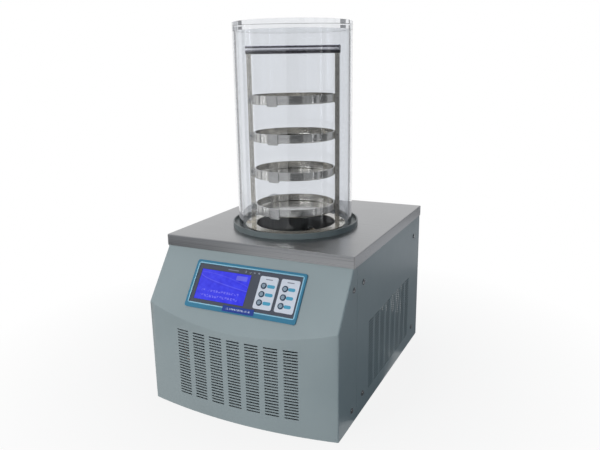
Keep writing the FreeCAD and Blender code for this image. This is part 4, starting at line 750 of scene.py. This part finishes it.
class Stock(Enum):
    """Named finishes that several sub-assemblies share."""

    PAINT = StovedPaint("grey_green_enamel")
    TOP_STEEL = BrushedSteel("brushed_cover_steel", "a0a1a3")
    ZINC = BrushedSteel("zinc_plated_steel", "8f9296", (60.0, 60.0, 60.0), 0.42)
    BRIGHT = PolishedSteel("bright_rack_steel", "dedbd4")
    RACK_BAR = PolishedSteel("rack_bar_steel", "ebe5d8", 0.2)
    SCREW = PolishedSteel("screw_steel", "85888b", 0.2)
    TRAP = BrushedSteel("trap_steel", "9aa0a0", (200.0, 200.0, 4.0), 0.32)
    CLEAR = Acrylic("clear_acrylic", "edeff2")
    SEAL = Rubber("seal_rubber_grey_green", "656e6f", 0.36)
    FOOT = Rubber("foot_rubber_black", "1c1d1e", 0.6)
    FOAM = Moulded("insulation_foam", "1a1b1c", 0.8, 0.0, 300.0, 0.0004)
    COPPER = Moulded("drawn_copper", "b5714a", 0.3, 1.0, 60.0, 0.00001)
    BLACK_PAINT = Moulded("black_enamel", "17181a", 0.3)
    ALUMINIUM = Moulded("condenser_aluminium", "a9adb0", 0.38, 1.0, 200.0)
    BLACK_PLASTIC = Moulded("black_plastic", "16171a", 0.38)
    BRASS = Moulded("valve_brass", "b08d46", 0.3, 1.0, 80.0, 0.00001)
    BOARD = Moulded("circuit_board_green", "1e5c34", 0.4)
    BUTTON_RING = Moulded("button_ring_slate", "2c4358", 0.32)
    BUTTON_FACE = Moulded("button_face_grey", "8f9fae", 0.3)


# ------------------------------------------------------------------ making pieces
class Smoother:
    """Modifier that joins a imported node's loose facets and shades its curves smooth.

    Attributes:
        GROUP: name of its node group.
        JOIN: facets' corners closer than this, in metres, become one.
        CREASE: edges that turn by more degrees than this stay sharp.
    """

    GROUP = "join_and_shade"
    JOIN = 1e-6
    CREASE = 24.0

    @classmethod
    def group(cls) -> bpy.types.NodeTree:
        """Node group of the modifier, made once.

        Returns:
            The group.
        """
        tree = bpy.data.node_groups.get(cls.GROUP)
        if tree:
            return tree
        tree = bpy.data.node_groups.new(cls.GROUP, "GeometryNodeTree")
        for way in ("INPUT", "OUTPUT"):
            tree.interface.new_socket("Geometry", in_out=way, socket_type="NodeSocketGeometry")
        start, end = tree.nodes.new("NodeGroupInput"), tree.nodes.new("NodeGroupOutput")
        join = tree.nodes.new("GeometryNodeMergeByDistance")
        join.inputs["Distance"].default_value = cls.JOIN
        smooth = tree.nodes.new("GeometryNodeSetShadeSmooth")
        angle = tree.nodes.new("GeometryNodeInputMeshEdgeAngle")
        sharp = tree.nodes.new("FunctionNodeCompare")
        sharp.operation = "GREATER_THAN"
        sharp.inputs[1].default_value = math.radians(cls.CREASE)
        crease = tree.nodes.new("GeometryNodeSetShadeSmooth")
        crease.domain = "EDGE"
        crease.inputs["Shade Smooth"].default_value = False
        link = tree.links.new
        link(start.outputs[0], join.inputs[0])
        link(join.outputs[0], smooth.inputs[0])
        link(smooth.outputs[0], crease.inputs[0])
        link(angle.outputs[0], sharp.inputs[0])
        link(sharp.outputs[0], crease.inputs["Selection"])
        link(crease.outputs[0], end.inputs[0])
        return tree

    @classmethod
    def apply(cls, node: bpy.types.Object) -> None:
        """Put the modifier on a node."""
        modifier = node.modifiers.new("shade", "NODES")
        modifier.node_group = cls.group()


def finish_mesh(name: str, shape: bmesh.types.BMesh, body: str, finishes: list[Finish],
                sharp: float = 32.0) -> bpy.types.Object:
    """Turn a bmesh into a finished piece that rides on a body, its flats shaded flat.

    Args:
        name: the piece's name.
        shape: its mesh, freed here.
        body: the body that it moves with.
        finishes: its finishes, in the order of the faces' material numbers.
        sharp: edges that turn by more degrees than this stay sharp.

    Returns:
        The piece.
    """
    bmesh.ops.remove_doubles(shape, verts=shape.verts, dist=1e-7)
    bmesh.ops.recalc_face_normals(shape, faces=shape.faces)
    for face in shape.faces:
        face.smooth = True
    for edge in shape.edges:
        edge.smooth = edge.calc_face_angle(0.0) < math.radians(sharp)
    mesh = bpy.data.meshes.new(name)
    shape.to_mesh(mesh)
    shape.free()
    piece = bpy.data.objects.new(name, mesh)
    bpy.context.scene.collection.objects.link(piece)
    for finish in finishes:
        mesh.materials.append(finish.material())
    flats = piece.modifiers.new("true_flats", "WEIGHTED_NORMAL")
    flats.weight, flats.keep_sharp = 100, True
    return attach(piece, body)


def lathe(profile: list[Point], middle: Vector, steps: int = 128) -> bmesh.types.BMesh:
    """Turn a closed or axis-to-axis profile about the upright axis through a point.

    Args:
        profile: (radius, height) points in order; the ends lie on the axis or meet.
        middle: a point on the axis; heights count from the frame's floor.
        steps: facets round.

    Returns:
        The turned mesh.
    """
    shape = bmesh.new()
    made = [shape.verts.new((middle.x + radius, middle.y, height)) for radius, height in profile]
    runs = [shape.edges.new(pair) for pair in zip(made, made[1:])]
    if profile[0][0] > 0:
        runs.append(shape.edges.new((made[-1], made[0])))
    bmesh.ops.spin(shape, geom=made + runs, cent=middle, axis=(0, 0, 1), angle=math.tau, steps=steps,
                   use_merge=True, use_duplicate=False)
    bmesh.ops.remove_doubles(shape, verts=shape.verts, dist=1e-6)
    return shape


def rounded(profile: list[Point], radius: float, steps: int = 4, skip: set[int] = frozenset()) -> list[Point]:
    """Round the corners of a closed profile.

    Args:
        profile: corner points in order.
        radius: corner radius, less where a side is short.
        steps: pieces of each arc.
        skip: numbers of the corners that stay sharp.

    Returns:
        The profile with arcs for corners.
    """
    made: list[Point] = []
    count = len(profile)
    for index, corner in enumerate(profile):
        here = Vector(corner)
        before, after = Vector(profile[index - 1]) - here, Vector(profile[(index + 1) % count]) - here
        reach = min(radius, before.length * 0.49, after.length * 0.49)
        if index in skip or reach < 1e-6:
            made.append(corner)
            continue
        first, last = here + before.normalized() * reach, here + after.normalized() * reach
        for step in range(steps + 1):
            t = step / steps
            point = first * (1 - t) ** 2 + here * (2 * t * (1 - t)) + last * t ** 2
            made.append((point.x, point.y))
    return made


def dress(names: list[str], finish: Finish) -> None:
    """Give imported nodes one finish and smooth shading.

    Args:
        names: the nodes.
        finish: what they are given.
    """
    nodes = bpy.data.objects
    for name in names:
        node = nodes[name]
        node.data.materials.clear()
        node.data.materials.append(finish.material())
        Smoother.apply(node)
        LOG.info("dressed %s in %s", name, finish.name)


# ------------------------------------------------------------------ sub-assemblies
@dataclass
class Cabinet:
    """Painted sheets, stainless cover, posts, screws and feet."""

    def build(self) -> None:
        """Dress the sheets."""
        dress(["front_panel", "side_panel_right", "side_panel_left", "rear_panel"], Stock.PAINT.value)
        dress(["top_plate"], Stock.TOP_STEEL.value)
        dress(["base_pan", "corner_posts"], Stock.ZINC.value)
        dress(["rubber_feet"], Stock.FOOT.value)
        dress(["cabinet_screws"], Stock.SCREW.value)


@dataclass
class ControlPanel:
    """Bezel, printed film, display, key fields, buttons, plate and lamps on the slope.

    Attributes:
        slope: the face that carries the panel.
        button_radius: radius of a button's ring.
        face_radius: radius of its face.
        rise: its height over the slope.
        stem: radius and length of its stem.
        bevel: bevel of the ring's outer edge.
        groove: depth of the groove round the face.
        columns: where the buttons lie across the slope.
        rows: how far down it they lie.
    """

    slope: Slope
    button_radius: float = 0.0065
    face_radius: float = 0.0042
    rise: float = 0.0044
    stem: Point = (0.002, 0.006)
    bevel: float = 0.0006
    groove: float = 0.0004
    columns: Point = (0.0413, 0.0903)
    rows: tuple[float, float, float] = (0.0623, 0.0803, 0.0983)

    def build(self) -> None:
        """Dress the panel and make its buttons."""
        dress(["panel_bezel"], BezelFinish("teal_bezel", self.slope))
        dress(["panel_overlay"], OverlayFinish("printed_film", self.slope))
        dress(["lcd_screen"], ScreenFinish("lit_display", self.slope))
        dress(["keypad_left"], KeyPadFinish("key_field_left", self.slope, 58.0, 18.0, 50.5))
        dress(["keypad_right"], KeyPadFinish("key_field_right", self.slope, 105.0, 16.0, 99.5))
        dress(["name_plate"], self._plate())
        dress(["status_lamps"], LampFinish("small_lamps"))
        dress(["control_board"], Stock.BOARD.value)
        for number, (x, s) in enumerate(itertools.product(self.columns, self.rows), 1):
            self._button(number, x, s)

    def _plate(self) -> PlateFinish:
        """Finish of the blue plate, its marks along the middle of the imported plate.

        Returns:
            The finish.
        """
        low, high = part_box("name_plate")
        middle = (low + high) / 2
        forward, down = self.slope.lean
        line = (self.slope.brow_y - middle.y) * forward + (self.slope.brow_z - middle.z) * down
        return PlateFinish("blue_plate", self.slope, middle=middle.x * 1000, line=line * 1000)

    def _button(self, number: int, x: float, s: float) -> None:
        """Make one button: a dark ring round a paler face, on its stem.

        Args:
            number: its number.
            x: where it lies across the slope.
            s: how far down the slope it lies.
        """
        radius, face, rise, dip = self.button_radius, self.face_radius, self.rise, self.rise - self.groove
        thin, deep = self.stem
        profile = [
            (0.0, -deep), (thin, -deep), (thin, 0.0), (radius, 0.0), (radius, rise - self.bevel),
            (radius - self.bevel, rise), (face + 0.0003, rise), (face, dip), (face - self.groove, dip),
            (face * 0.6, rise - 0.0001), (0.0, rise),
        ]
        shape = lathe(profile, Vector((0, 0, 0)), 48)
        for part in shape.faces:
            centre = part.calc_center_median()
            part.material_index = 1 if centre.xy.length < face and centre.z > rise / 2 else 0
        place = Matrix.Translation(self.slope.point(x, s)) @ self.slope.turn().to_4x4()
        bmesh.ops.transform(shape, matrix=place, verts=shape.verts)
        node = f"button_{number}"
        piece = finish_mesh(f"push_{node}", shape, node, [Stock.BUTTON_RING.value, Stock.BUTTON_FACE.value])
        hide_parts(node)
        LOG.info("made %s", piece.name)


@dataclass
class BellJar:
    """Acrylic jar with its bonded lid, standing in the rubber seal.

    Attributes:
        body: the body that both ride on.
        wall: thickness of the jar's wall.
        edge: rounding of its corners.
        lip: thickness of the seal's upright lip.
        bore: radius of the seal's opening.
        seat: thickness of the seal under the jar.
        seal_edge: rounding of the seal's corners.
    """

    body: str = "cabinet"
    wall: float = 0.008
    edge: float = 0.0008
    lip: float = 0.0035
    bore: float = 0.1193
    seat: float = 0.005
    seal_edge: float = 0.0012

    def build(self) -> None:
        """Make the jar as one clear piece and the seal with its rounded lips."""
        low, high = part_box("jar_tube")
        lid_low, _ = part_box("jar_lid")
        middle = Vector(((low.x + high.x) / 2, (low.y + high.y) / 2, 0))
        outer = (high.x - low.x) / 2
        inner = outer - self.wall
        corners = [
            (0.0, high.z), (outer, high.z), (outer, low.z),
            (inner, low.z), (inner, lid_low.z), (0.0, lid_low.z),
        ]
        profile = rounded(corners, self.edge, 3, {0, 5})
        jar = finish_mesh("bell_jar", lathe(profile, middle, 192), self.body, [Stock.CLEAR.value], 12.0)
        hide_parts("jar_tube", "jar_lid")
        LOG.info("made %s", jar.name)
        self._seal(middle)

    def _seal(self, middle: Vector) -> None:
        """Make the seal ring.

        Args:
            middle: a point on the jar's axis.
        """
        low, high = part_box("seal_ring")
        outer, floor = (high.x - low.x) / 2, low.z + self.seat
        inner = outer - self.lip
        corners = [
            (self.bore, low.z), (outer, low.z), (outer, high.z),
            (inner, high.z), (inner, floor), (self.bore, floor),
        ]
        profile = rounded(corners, self.seal_edge, 3, {0, 1})
        seal = finish_mesh("seal_ring_moulding", lathe(profile, middle, 160), self.body, [Stock.SEAL.value])
        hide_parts("seal_ring")
        LOG.info("made %s", seal.name)


@dataclass
class TrayRack:
    """Base ring, two legs, handle and four trays in their holders.

    Attributes:
        body: the body that they ride on.
        numbers: the trays' numbers.
        sheet: thickness of a tray.
        rim: half the thickness of its rolled rim.
        heel: rounding between its floor and wall.
    """

    body: str = "cabinet"
    numbers: range = range(1, 5)
    sheet: float = 0.001
    rim: float = 0.0009
    heel: float = 0.003

    def build(self) -> None:
        """Dress the rack and make the trays with their rolled rims."""
        dress(["rack_base", "rack_leg_left", "rack_leg_right"], Stock.RACK_BAR.value)
        low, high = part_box("rack_handle")
        # the near-white colour f0eff4 is the bright line of the handle's painted reflection; the bands
        # between are painted dark
        dress(["rack_handle"], HandleSteelWithPaintedReflection("handle_steel_painted_reflection", "f0eff4", low=low.z, high=high.z))
        dress([f"tray_holder_{number}" for number in self.numbers], Stock.BRIGHT.value)
        dress(["rack_screws"], Stock.SCREW.value)
        for number in self.numbers:
            self._tray(number)

    def _tray(self, number: int) -> None:
        """Make one tray: flat floor, rounded heel, upright wall and rolled rim.

        Args:
            number: its number.
        """
        node = f"tray_{number}"
        low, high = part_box(node)
        middle = Vector(((low.x + high.x) / 2, (low.y + high.y) / 2, 0))
        outer, roll = (high.x - low.x) / 2, 2 * self.rim
        inner, floor = outer - self.sheet, low.z + self.sheet
        corners = [
            (0.0, low.z), (outer, low.z), (outer, high.z), (outer - roll, high.z),
            (outer - roll, high.z - roll), (inner, high.z - roll), (inner, floor), (0.0, floor),
        ]
        profile = rounded(corners, self.heel, 4, {0, 2, 3, 4, 5, 7})
        tray = finish_mesh(f"drying_{node}", lathe(profile, middle, 144), self.body, [Stock.BRIGHT.value])
        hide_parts(node)
        LOG.info("made %s", tray.name)


@dataclass
class ColdTrap:
    """Well, coil and foam jacket under the jar."""

    def build(self) -> None:
        """Dress the well and what surrounds it."""
        dress(["cold_trap"], Stock.TRAP.value)
        dress(["evaporator_coil"], Stock.COPPER.value)
        dress(["insulation_jacket"], Stock.FOAM.value)


@dataclass
class RefrigerationSet:
    """Compressor, condenser, fan and the lines between them."""

    def build(self) -> None:
        """Dress the set."""
        dress(["compressor", "fan_motor"], Stock.BLACK_PAINT.value)
        dress(["compressor_mounts"], Stock.FOOT.value)
        dress(["condenser"], Stock.ALUMINIUM.value)
        dress(["filter_drier", "discharge_line", "suction_line", "liquid_line"], Stock.COPPER.value)
        dress(["fan_shroud", "power_supply"], Stock.ZINC.value)
        dress(["fan_blades"], Stock.BLACK_PLASTIC.value)


@dataclass
class RearFittings:
    """Vacuum port and gauge, drain valve and power inlet."""

    def build(self) -> None:
        """Dress the fittings."""
        dress(["vacuum_pipe", "drain_pipe"], Stock.BRIGHT.value)
        dress(["vacuum_sensor"], Stock.ALUMINIUM.value)
        dress(["drain_valve"], Stock.BRASS.value)
        dress(["drain_lever"], Stock.ZINC.value)
        dress(["power_entry", "power_rocker"], Stock.BLACK_PLASTIC.value)


# ------------------------------------------------------------------ studio
class RayKind(Enum):
    """Kinds of ray that see the pale studio."""

    CAMERA = "Is Camera Ray"
    GLOSSY = "Is Glossy Ray"
    TRANSMISSION = "Is Transmission Ray"

    @classmethod
    def pale(cls, graph: Graph) -> Signal:
        """Whether the ray is one of these kinds.

        Args:
            graph: the node tree that asks.

        Returns:
            1 for such a ray, 0 for any other.
        """
        rays = graph.add("ShaderNodeLightPath")
        eye, mirror, through = (graph.out(rays, kind.value) for kind in cls)
        return eye.top(mirror).top(through)


@dataclass(frozen=True)
class Card:
    """A grey card that stands round the object, or lies on the floor between two distances.

    Attributes:
        bearing: degrees round from the object's back, by its right side.
        half: half its width, in degrees.
        shade: its grey; more than 1 is a lit strip.
        floor: nearest and farthest distance of a lying card.
        reach: distance of a standing card.
        height: height of its top.
        lift: height of its foot.
    """

    bearing: float
    half: float
    shade: float
    floor: Point | None = None
    reach: float = 1.7
    height: float = 0.92
    lift: float = 0.002

    def corners(self) -> list[Vector]:
        """Corner points, counted round.

        Returns:
            The four points.
        """
        first, last = (math.radians(self.bearing + turn) for turn in (-self.half, self.half))
        near, far = self.floor or (self.reach, self.reach)
        top = self.lift if self.floor else self.height
        edges = ((near, first, self.lift), (near, last, self.lift), (far, last, top), (far, first, top))
        return [Vector((reach * math.sin(turn), reach * math.cos(turn), z)) for reach, turn, z in edges]

    @property
    def tint(self) -> Colour:
        """Its light, a little on the blue side."""
        return (self.shade, self.shade * 1.02, self.shade * 1.06, 1.0)


@dataclass
class Studio:
    """Floor, world, cards, lamps and camera.

    Attributes:
        eye: the camera's place.
        yaw: its turn from straight ahead, in degrees, to the right.
        pitch: how far it looks down.
        roll: its lean.
        sensor: width of its sensor, in millimetres.
        focal: its focal length.
        floor_reach: half the floor's side.
        fade: distances between which the floor's shade leaves it.
        shadow: share of the floor's own shade that is left near the object.
        floor_grey: the floor's colour in the light of the lamps.
        room_left: the room's light on the left.
        room_low: its light on the right, low down.
        room_high: the same, high up.
        aim: what the lamps face.
        strip_light: strength of the bright strips.
        tall_reach: distance of the tall cards.
        tall_height: their height.
    """

    eye: tuple[float, float, float] = (0.6278, -1.2884, 0.7316)
    yaw: float = -25.67
    pitch: float = 14.41
    roll: float = -0.85
    sensor: float = 36.0
    focal: float = 618.3 / 600 * 36
    floor_reach: float = 30.0
    fade: Point = (0.3, 0.9)
    shadow: float = 0.12
    floor_grey: Colour = (0.3, 0.3, 0.3, 1.0)
    room_left: Colour = (0.4, 0.41, 0.42, 1.0)
    room_low: Colour = (0.21, 0.3, 0.36, 1.0)
    room_high: Colour = (0.29, 0.37, 0.43, 1.0)
    aim: tuple[float, float, float] = (0.0, 0.0, 0.35)
    strip_light: float = 5.0
    tall_reach: float = 1.75
    tall_height: float = 2.6
    # bearing, half width and shade of the cards that stand as high as the object
    STANDING: ClassVar[tuple[tuple[float, ...], ...]] = (
        (198.0, 30.0, 0.62), (148.0, 19.0, 0.17), (116.0, 12.0, 0.36), (97.0, 6.0, 0.12), (86.0, 4.0, 0.55),
        (68.0, 13.0, 0.16), (52.0, 2.5, 0.06), (34.0, 14.0, 0.5), (15.0, 4.0, 0.2),
        (228.0, 1.8, 0.08), (258.0, 3.0, 0.2), (281.0, 2.0, 0.1), (296.0, 5.0, 0.25),
    )
    # bearing, half width and distance of the thin bright strips before or between them
    STRIPS: ClassVar[tuple[tuple[float, ...], ...]] = (
        (178.0, 0.35, 1.6), (238.0, 0.35, 1.7), (249.0, 0.25, 1.7), (101.5, 0.25, 1.6),
    )
    # bearing, half width and shade of the tall cards behind them
    TALL: ClassVar[tuple[tuple[float, ...], ...]] = (
        (138.0, 5.0, 0.03), (112.0, 3.0, 0.15), (92.0, 4.0, 0.4), (181.0, 2.5, 0.35), (212.0, 7.0, 0.3),
        (72.0, 4.0, 0.1),
    )
    # bearing, half width, shade and distances of the cards that lie on the floor
    LYING: ClassVar[tuple[tuple[float, float, float, Point], ...]] = (
        (229.0, 18.0, 0.04, (0.8, 1.9)), (35.0, 27.0, 0.24, (0.3, 1.05)), (35.0, 24.0, 0.7, (1.05, 2.4)),
        (96.0, 34.0, 0.14, (0.27, 0.62)), (150.0, 17.0, 0.1, (0.5, 1.3)),
    )

    def build(self) -> None:
        """Make everything round the object."""
        self._floor()
        self._world()
        self._cards()
        self._lamps()
        self._camera()

    @staticmethod
    def _stand(name: str, shape: bmesh.types.BMesh, paper: bpy.types.Material) -> bpy.types.Object:
        """Turn a bmesh into a studio object of one material.

        Args:
            name: its name.
            shape: its mesh, freed here.
            paper: its material.

        Returns:
            The object.
        """
        mesh = bpy.data.meshes.new(name)
        shape.to_mesh(mesh)
        shape.free()
        mesh.materials.append(paper)
        stand = bpy.data.objects.new(name, mesh)
        bpy.context.scene.collection.objects.link(stand)
        return stand

    @staticmethod
    def _glow(graph: Graph, colour: Colour) -> Signal:
        """Plain light of one colour."""
        return graph.out(graph.add("ShaderNodeEmission", None, {"Color": colour, "Strength": 1.0}))

    @staticmethod
    def _paper(name: str) -> tuple[bpy.types.Material, Graph]:
        """Empty material and its graph.

        Args:
            name: the material's name.

        Returns:
            Both.
        """
        paper = bpy.data.materials.new(name)
        paper.use_nodes = True
        return paper, Graph(paper.node_tree)

    def _floor(self) -> None:
        """Make the floor, which fades to white away from the object."""
        paper, graph = self._paper("studio_paper")
        x, y, _ = graph.axes(graph.place())
        far = graph.math("SQRT", x * x + y * y).step(*self.fade)
        dull = graph.add("ShaderNodeBsdfDiffuse", None, {"Color": self.floor_grey})
        share = RayKind.pale(graph) * (far * self.shadow + (1 - self.shadow))
        pale = self._glow(graph, WHITE)
        blend = graph.add("ShaderNodeMixShader", None, {0: share, 1: graph.out(dull), 2: pale})
        graph.add("ShaderNodeOutputMaterial", None, {"Surface": graph.out(blend)})
        shape = bmesh.new()
        bmesh.ops.create_grid(shape, x_segments=1, y_segments=1, size=self.floor_reach)
        self._stand("studio_floor", shape, paper)

    def _world(self) -> None:
        """Make the world: white to the eye, in glass and in steel, a soft pale room for the rest."""
        world = bpy.data.worlds.new("studio_room")
        bpy.context.scene.world = world
        world.use_nodes = True
        graph = Graph(world.node_tree)
        x, _, z = graph.axes(graph.out(graph.add("ShaderNodeTexCoord"), "Generated"))
        right = graph.mix(z.step(-0.2, 0.8), self.room_low, self.room_high)
        room = graph.mix(x.step(-0.6, 0.4), self.room_left, right)
        back = graph.add("ShaderNodeBackground", None, {
            "Color": graph.mix(RayKind.pale(graph), room, WHITE), "Strength": 1.0})
        graph.add("ShaderNodeOutputWorld", None, {"Surface": graph.out(back)})

    def _cards(self) -> None:
        """Set up the cards, out of view, that steel and glass mirror."""
        cards = [Card(*row) for row in self.STANDING]
        cards += [Card(bearing, half, self.strip_light, None, reach) for bearing, half, reach in self.STRIPS]
        cards += [Card(*row, None, self.tall_reach, self.tall_height) for row in self.TALL]
        cards += [Card(*row) for row in self.LYING]
        for number, card in enumerate(cards):
            shape = bmesh.new()
            shape.faces.new([shape.verts.new(corner) for corner in card.corners()])
            paper, graph = self._paper(f"studio_card_{number}")
            graph.add("ShaderNodeOutputMaterial", None, {"Surface": self._glow(graph, card.tint)})
            stand = self._stand(paper.name, shape, paper)
            stand.visible_camera = stand.visible_diffuse = stand.visible_shadow = False

    def _lamps(self) -> None:
        """Hang the soft lamps."""
        self._lamp("key_lamp", (-0.35, -2.45, 1.0), (1.5, 1.1), 33.0)
        self._lamp("top_lamp", (-0.3, 0.6, 2.5), (1.0, 1.0), 8.0)

    def _lamp(self, name: str, place: tuple[float, float, float], size: Point, power: float) -> None:
        """Hang one oblong lamp that faces the object; it isn't mirrored in it.

        Args:
            name: its name.
            place: where it hangs.
            size: its width and height.
            power: its power, in watts.
        """
        data = bpy.data.lights.new(name, "AREA")
        data.shape, data.energy = "RECTANGLE", power
        data.size, data.size_y = size
        lamp = bpy.data.objects.new(name, data)
        lamp.location = place
        aim = Vector(self.aim) - Vector(place)
        lamp.rotation_euler = aim.to_track_quat("-Z", "Y").to_euler()
        lamp.visible_glossy = False
        bpy.context.scene.collection.objects.link(lamp)

    def _camera(self) -> None:
        """Set the camera."""
        yaw, pitch, roll = (math.radians(angle) for angle in (self.yaw, self.pitch, self.roll))
        level = math.cos(pitch)
        ahead = Vector((math.sin(yaw) * level, math.cos(yaw) * level, -math.sin(pitch)))
        right = Vector((math.cos(yaw), -math.sin(yaw), 0.0))
        up = right.cross(ahead)
        side = right * math.cos(roll) + up * math.sin(roll)
        rise = up * math.cos(roll) - right * math.sin(roll)
        data = bpy.data.cameras.new("studio_camera")
        data.lens, data.sensor_width = self.focal, self.sensor
        camera = bpy.data.objects.new("studio_camera", data)
        turn = Matrix((side, rise, -ahead)).transposed().to_4x4()
        camera.matrix_world = Matrix.Translation(self.eye) @ turn
        bpy.context.scene.collection.objects.link(camera)
        bpy.context.scene.camera = camera


def main() -> None:
    """Load the frame, dress it and build the studio."""
    logging.basicConfig(level=logging.INFO, format="%(name)s: %(message)s")
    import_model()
    assemblies = (
        Cabinet(), ControlPanel(Slope.under_plate()), BellJar(), TrayRack(), ColdTrap(), RefrigerationSet(),
        RearFittings(), Studio(),
    )
    for assembly in assemblies:
        assembly.build()
    bpy.context.scene.view_settings.view_transform = "Standard"


if __name__ == "__main__":
    main()
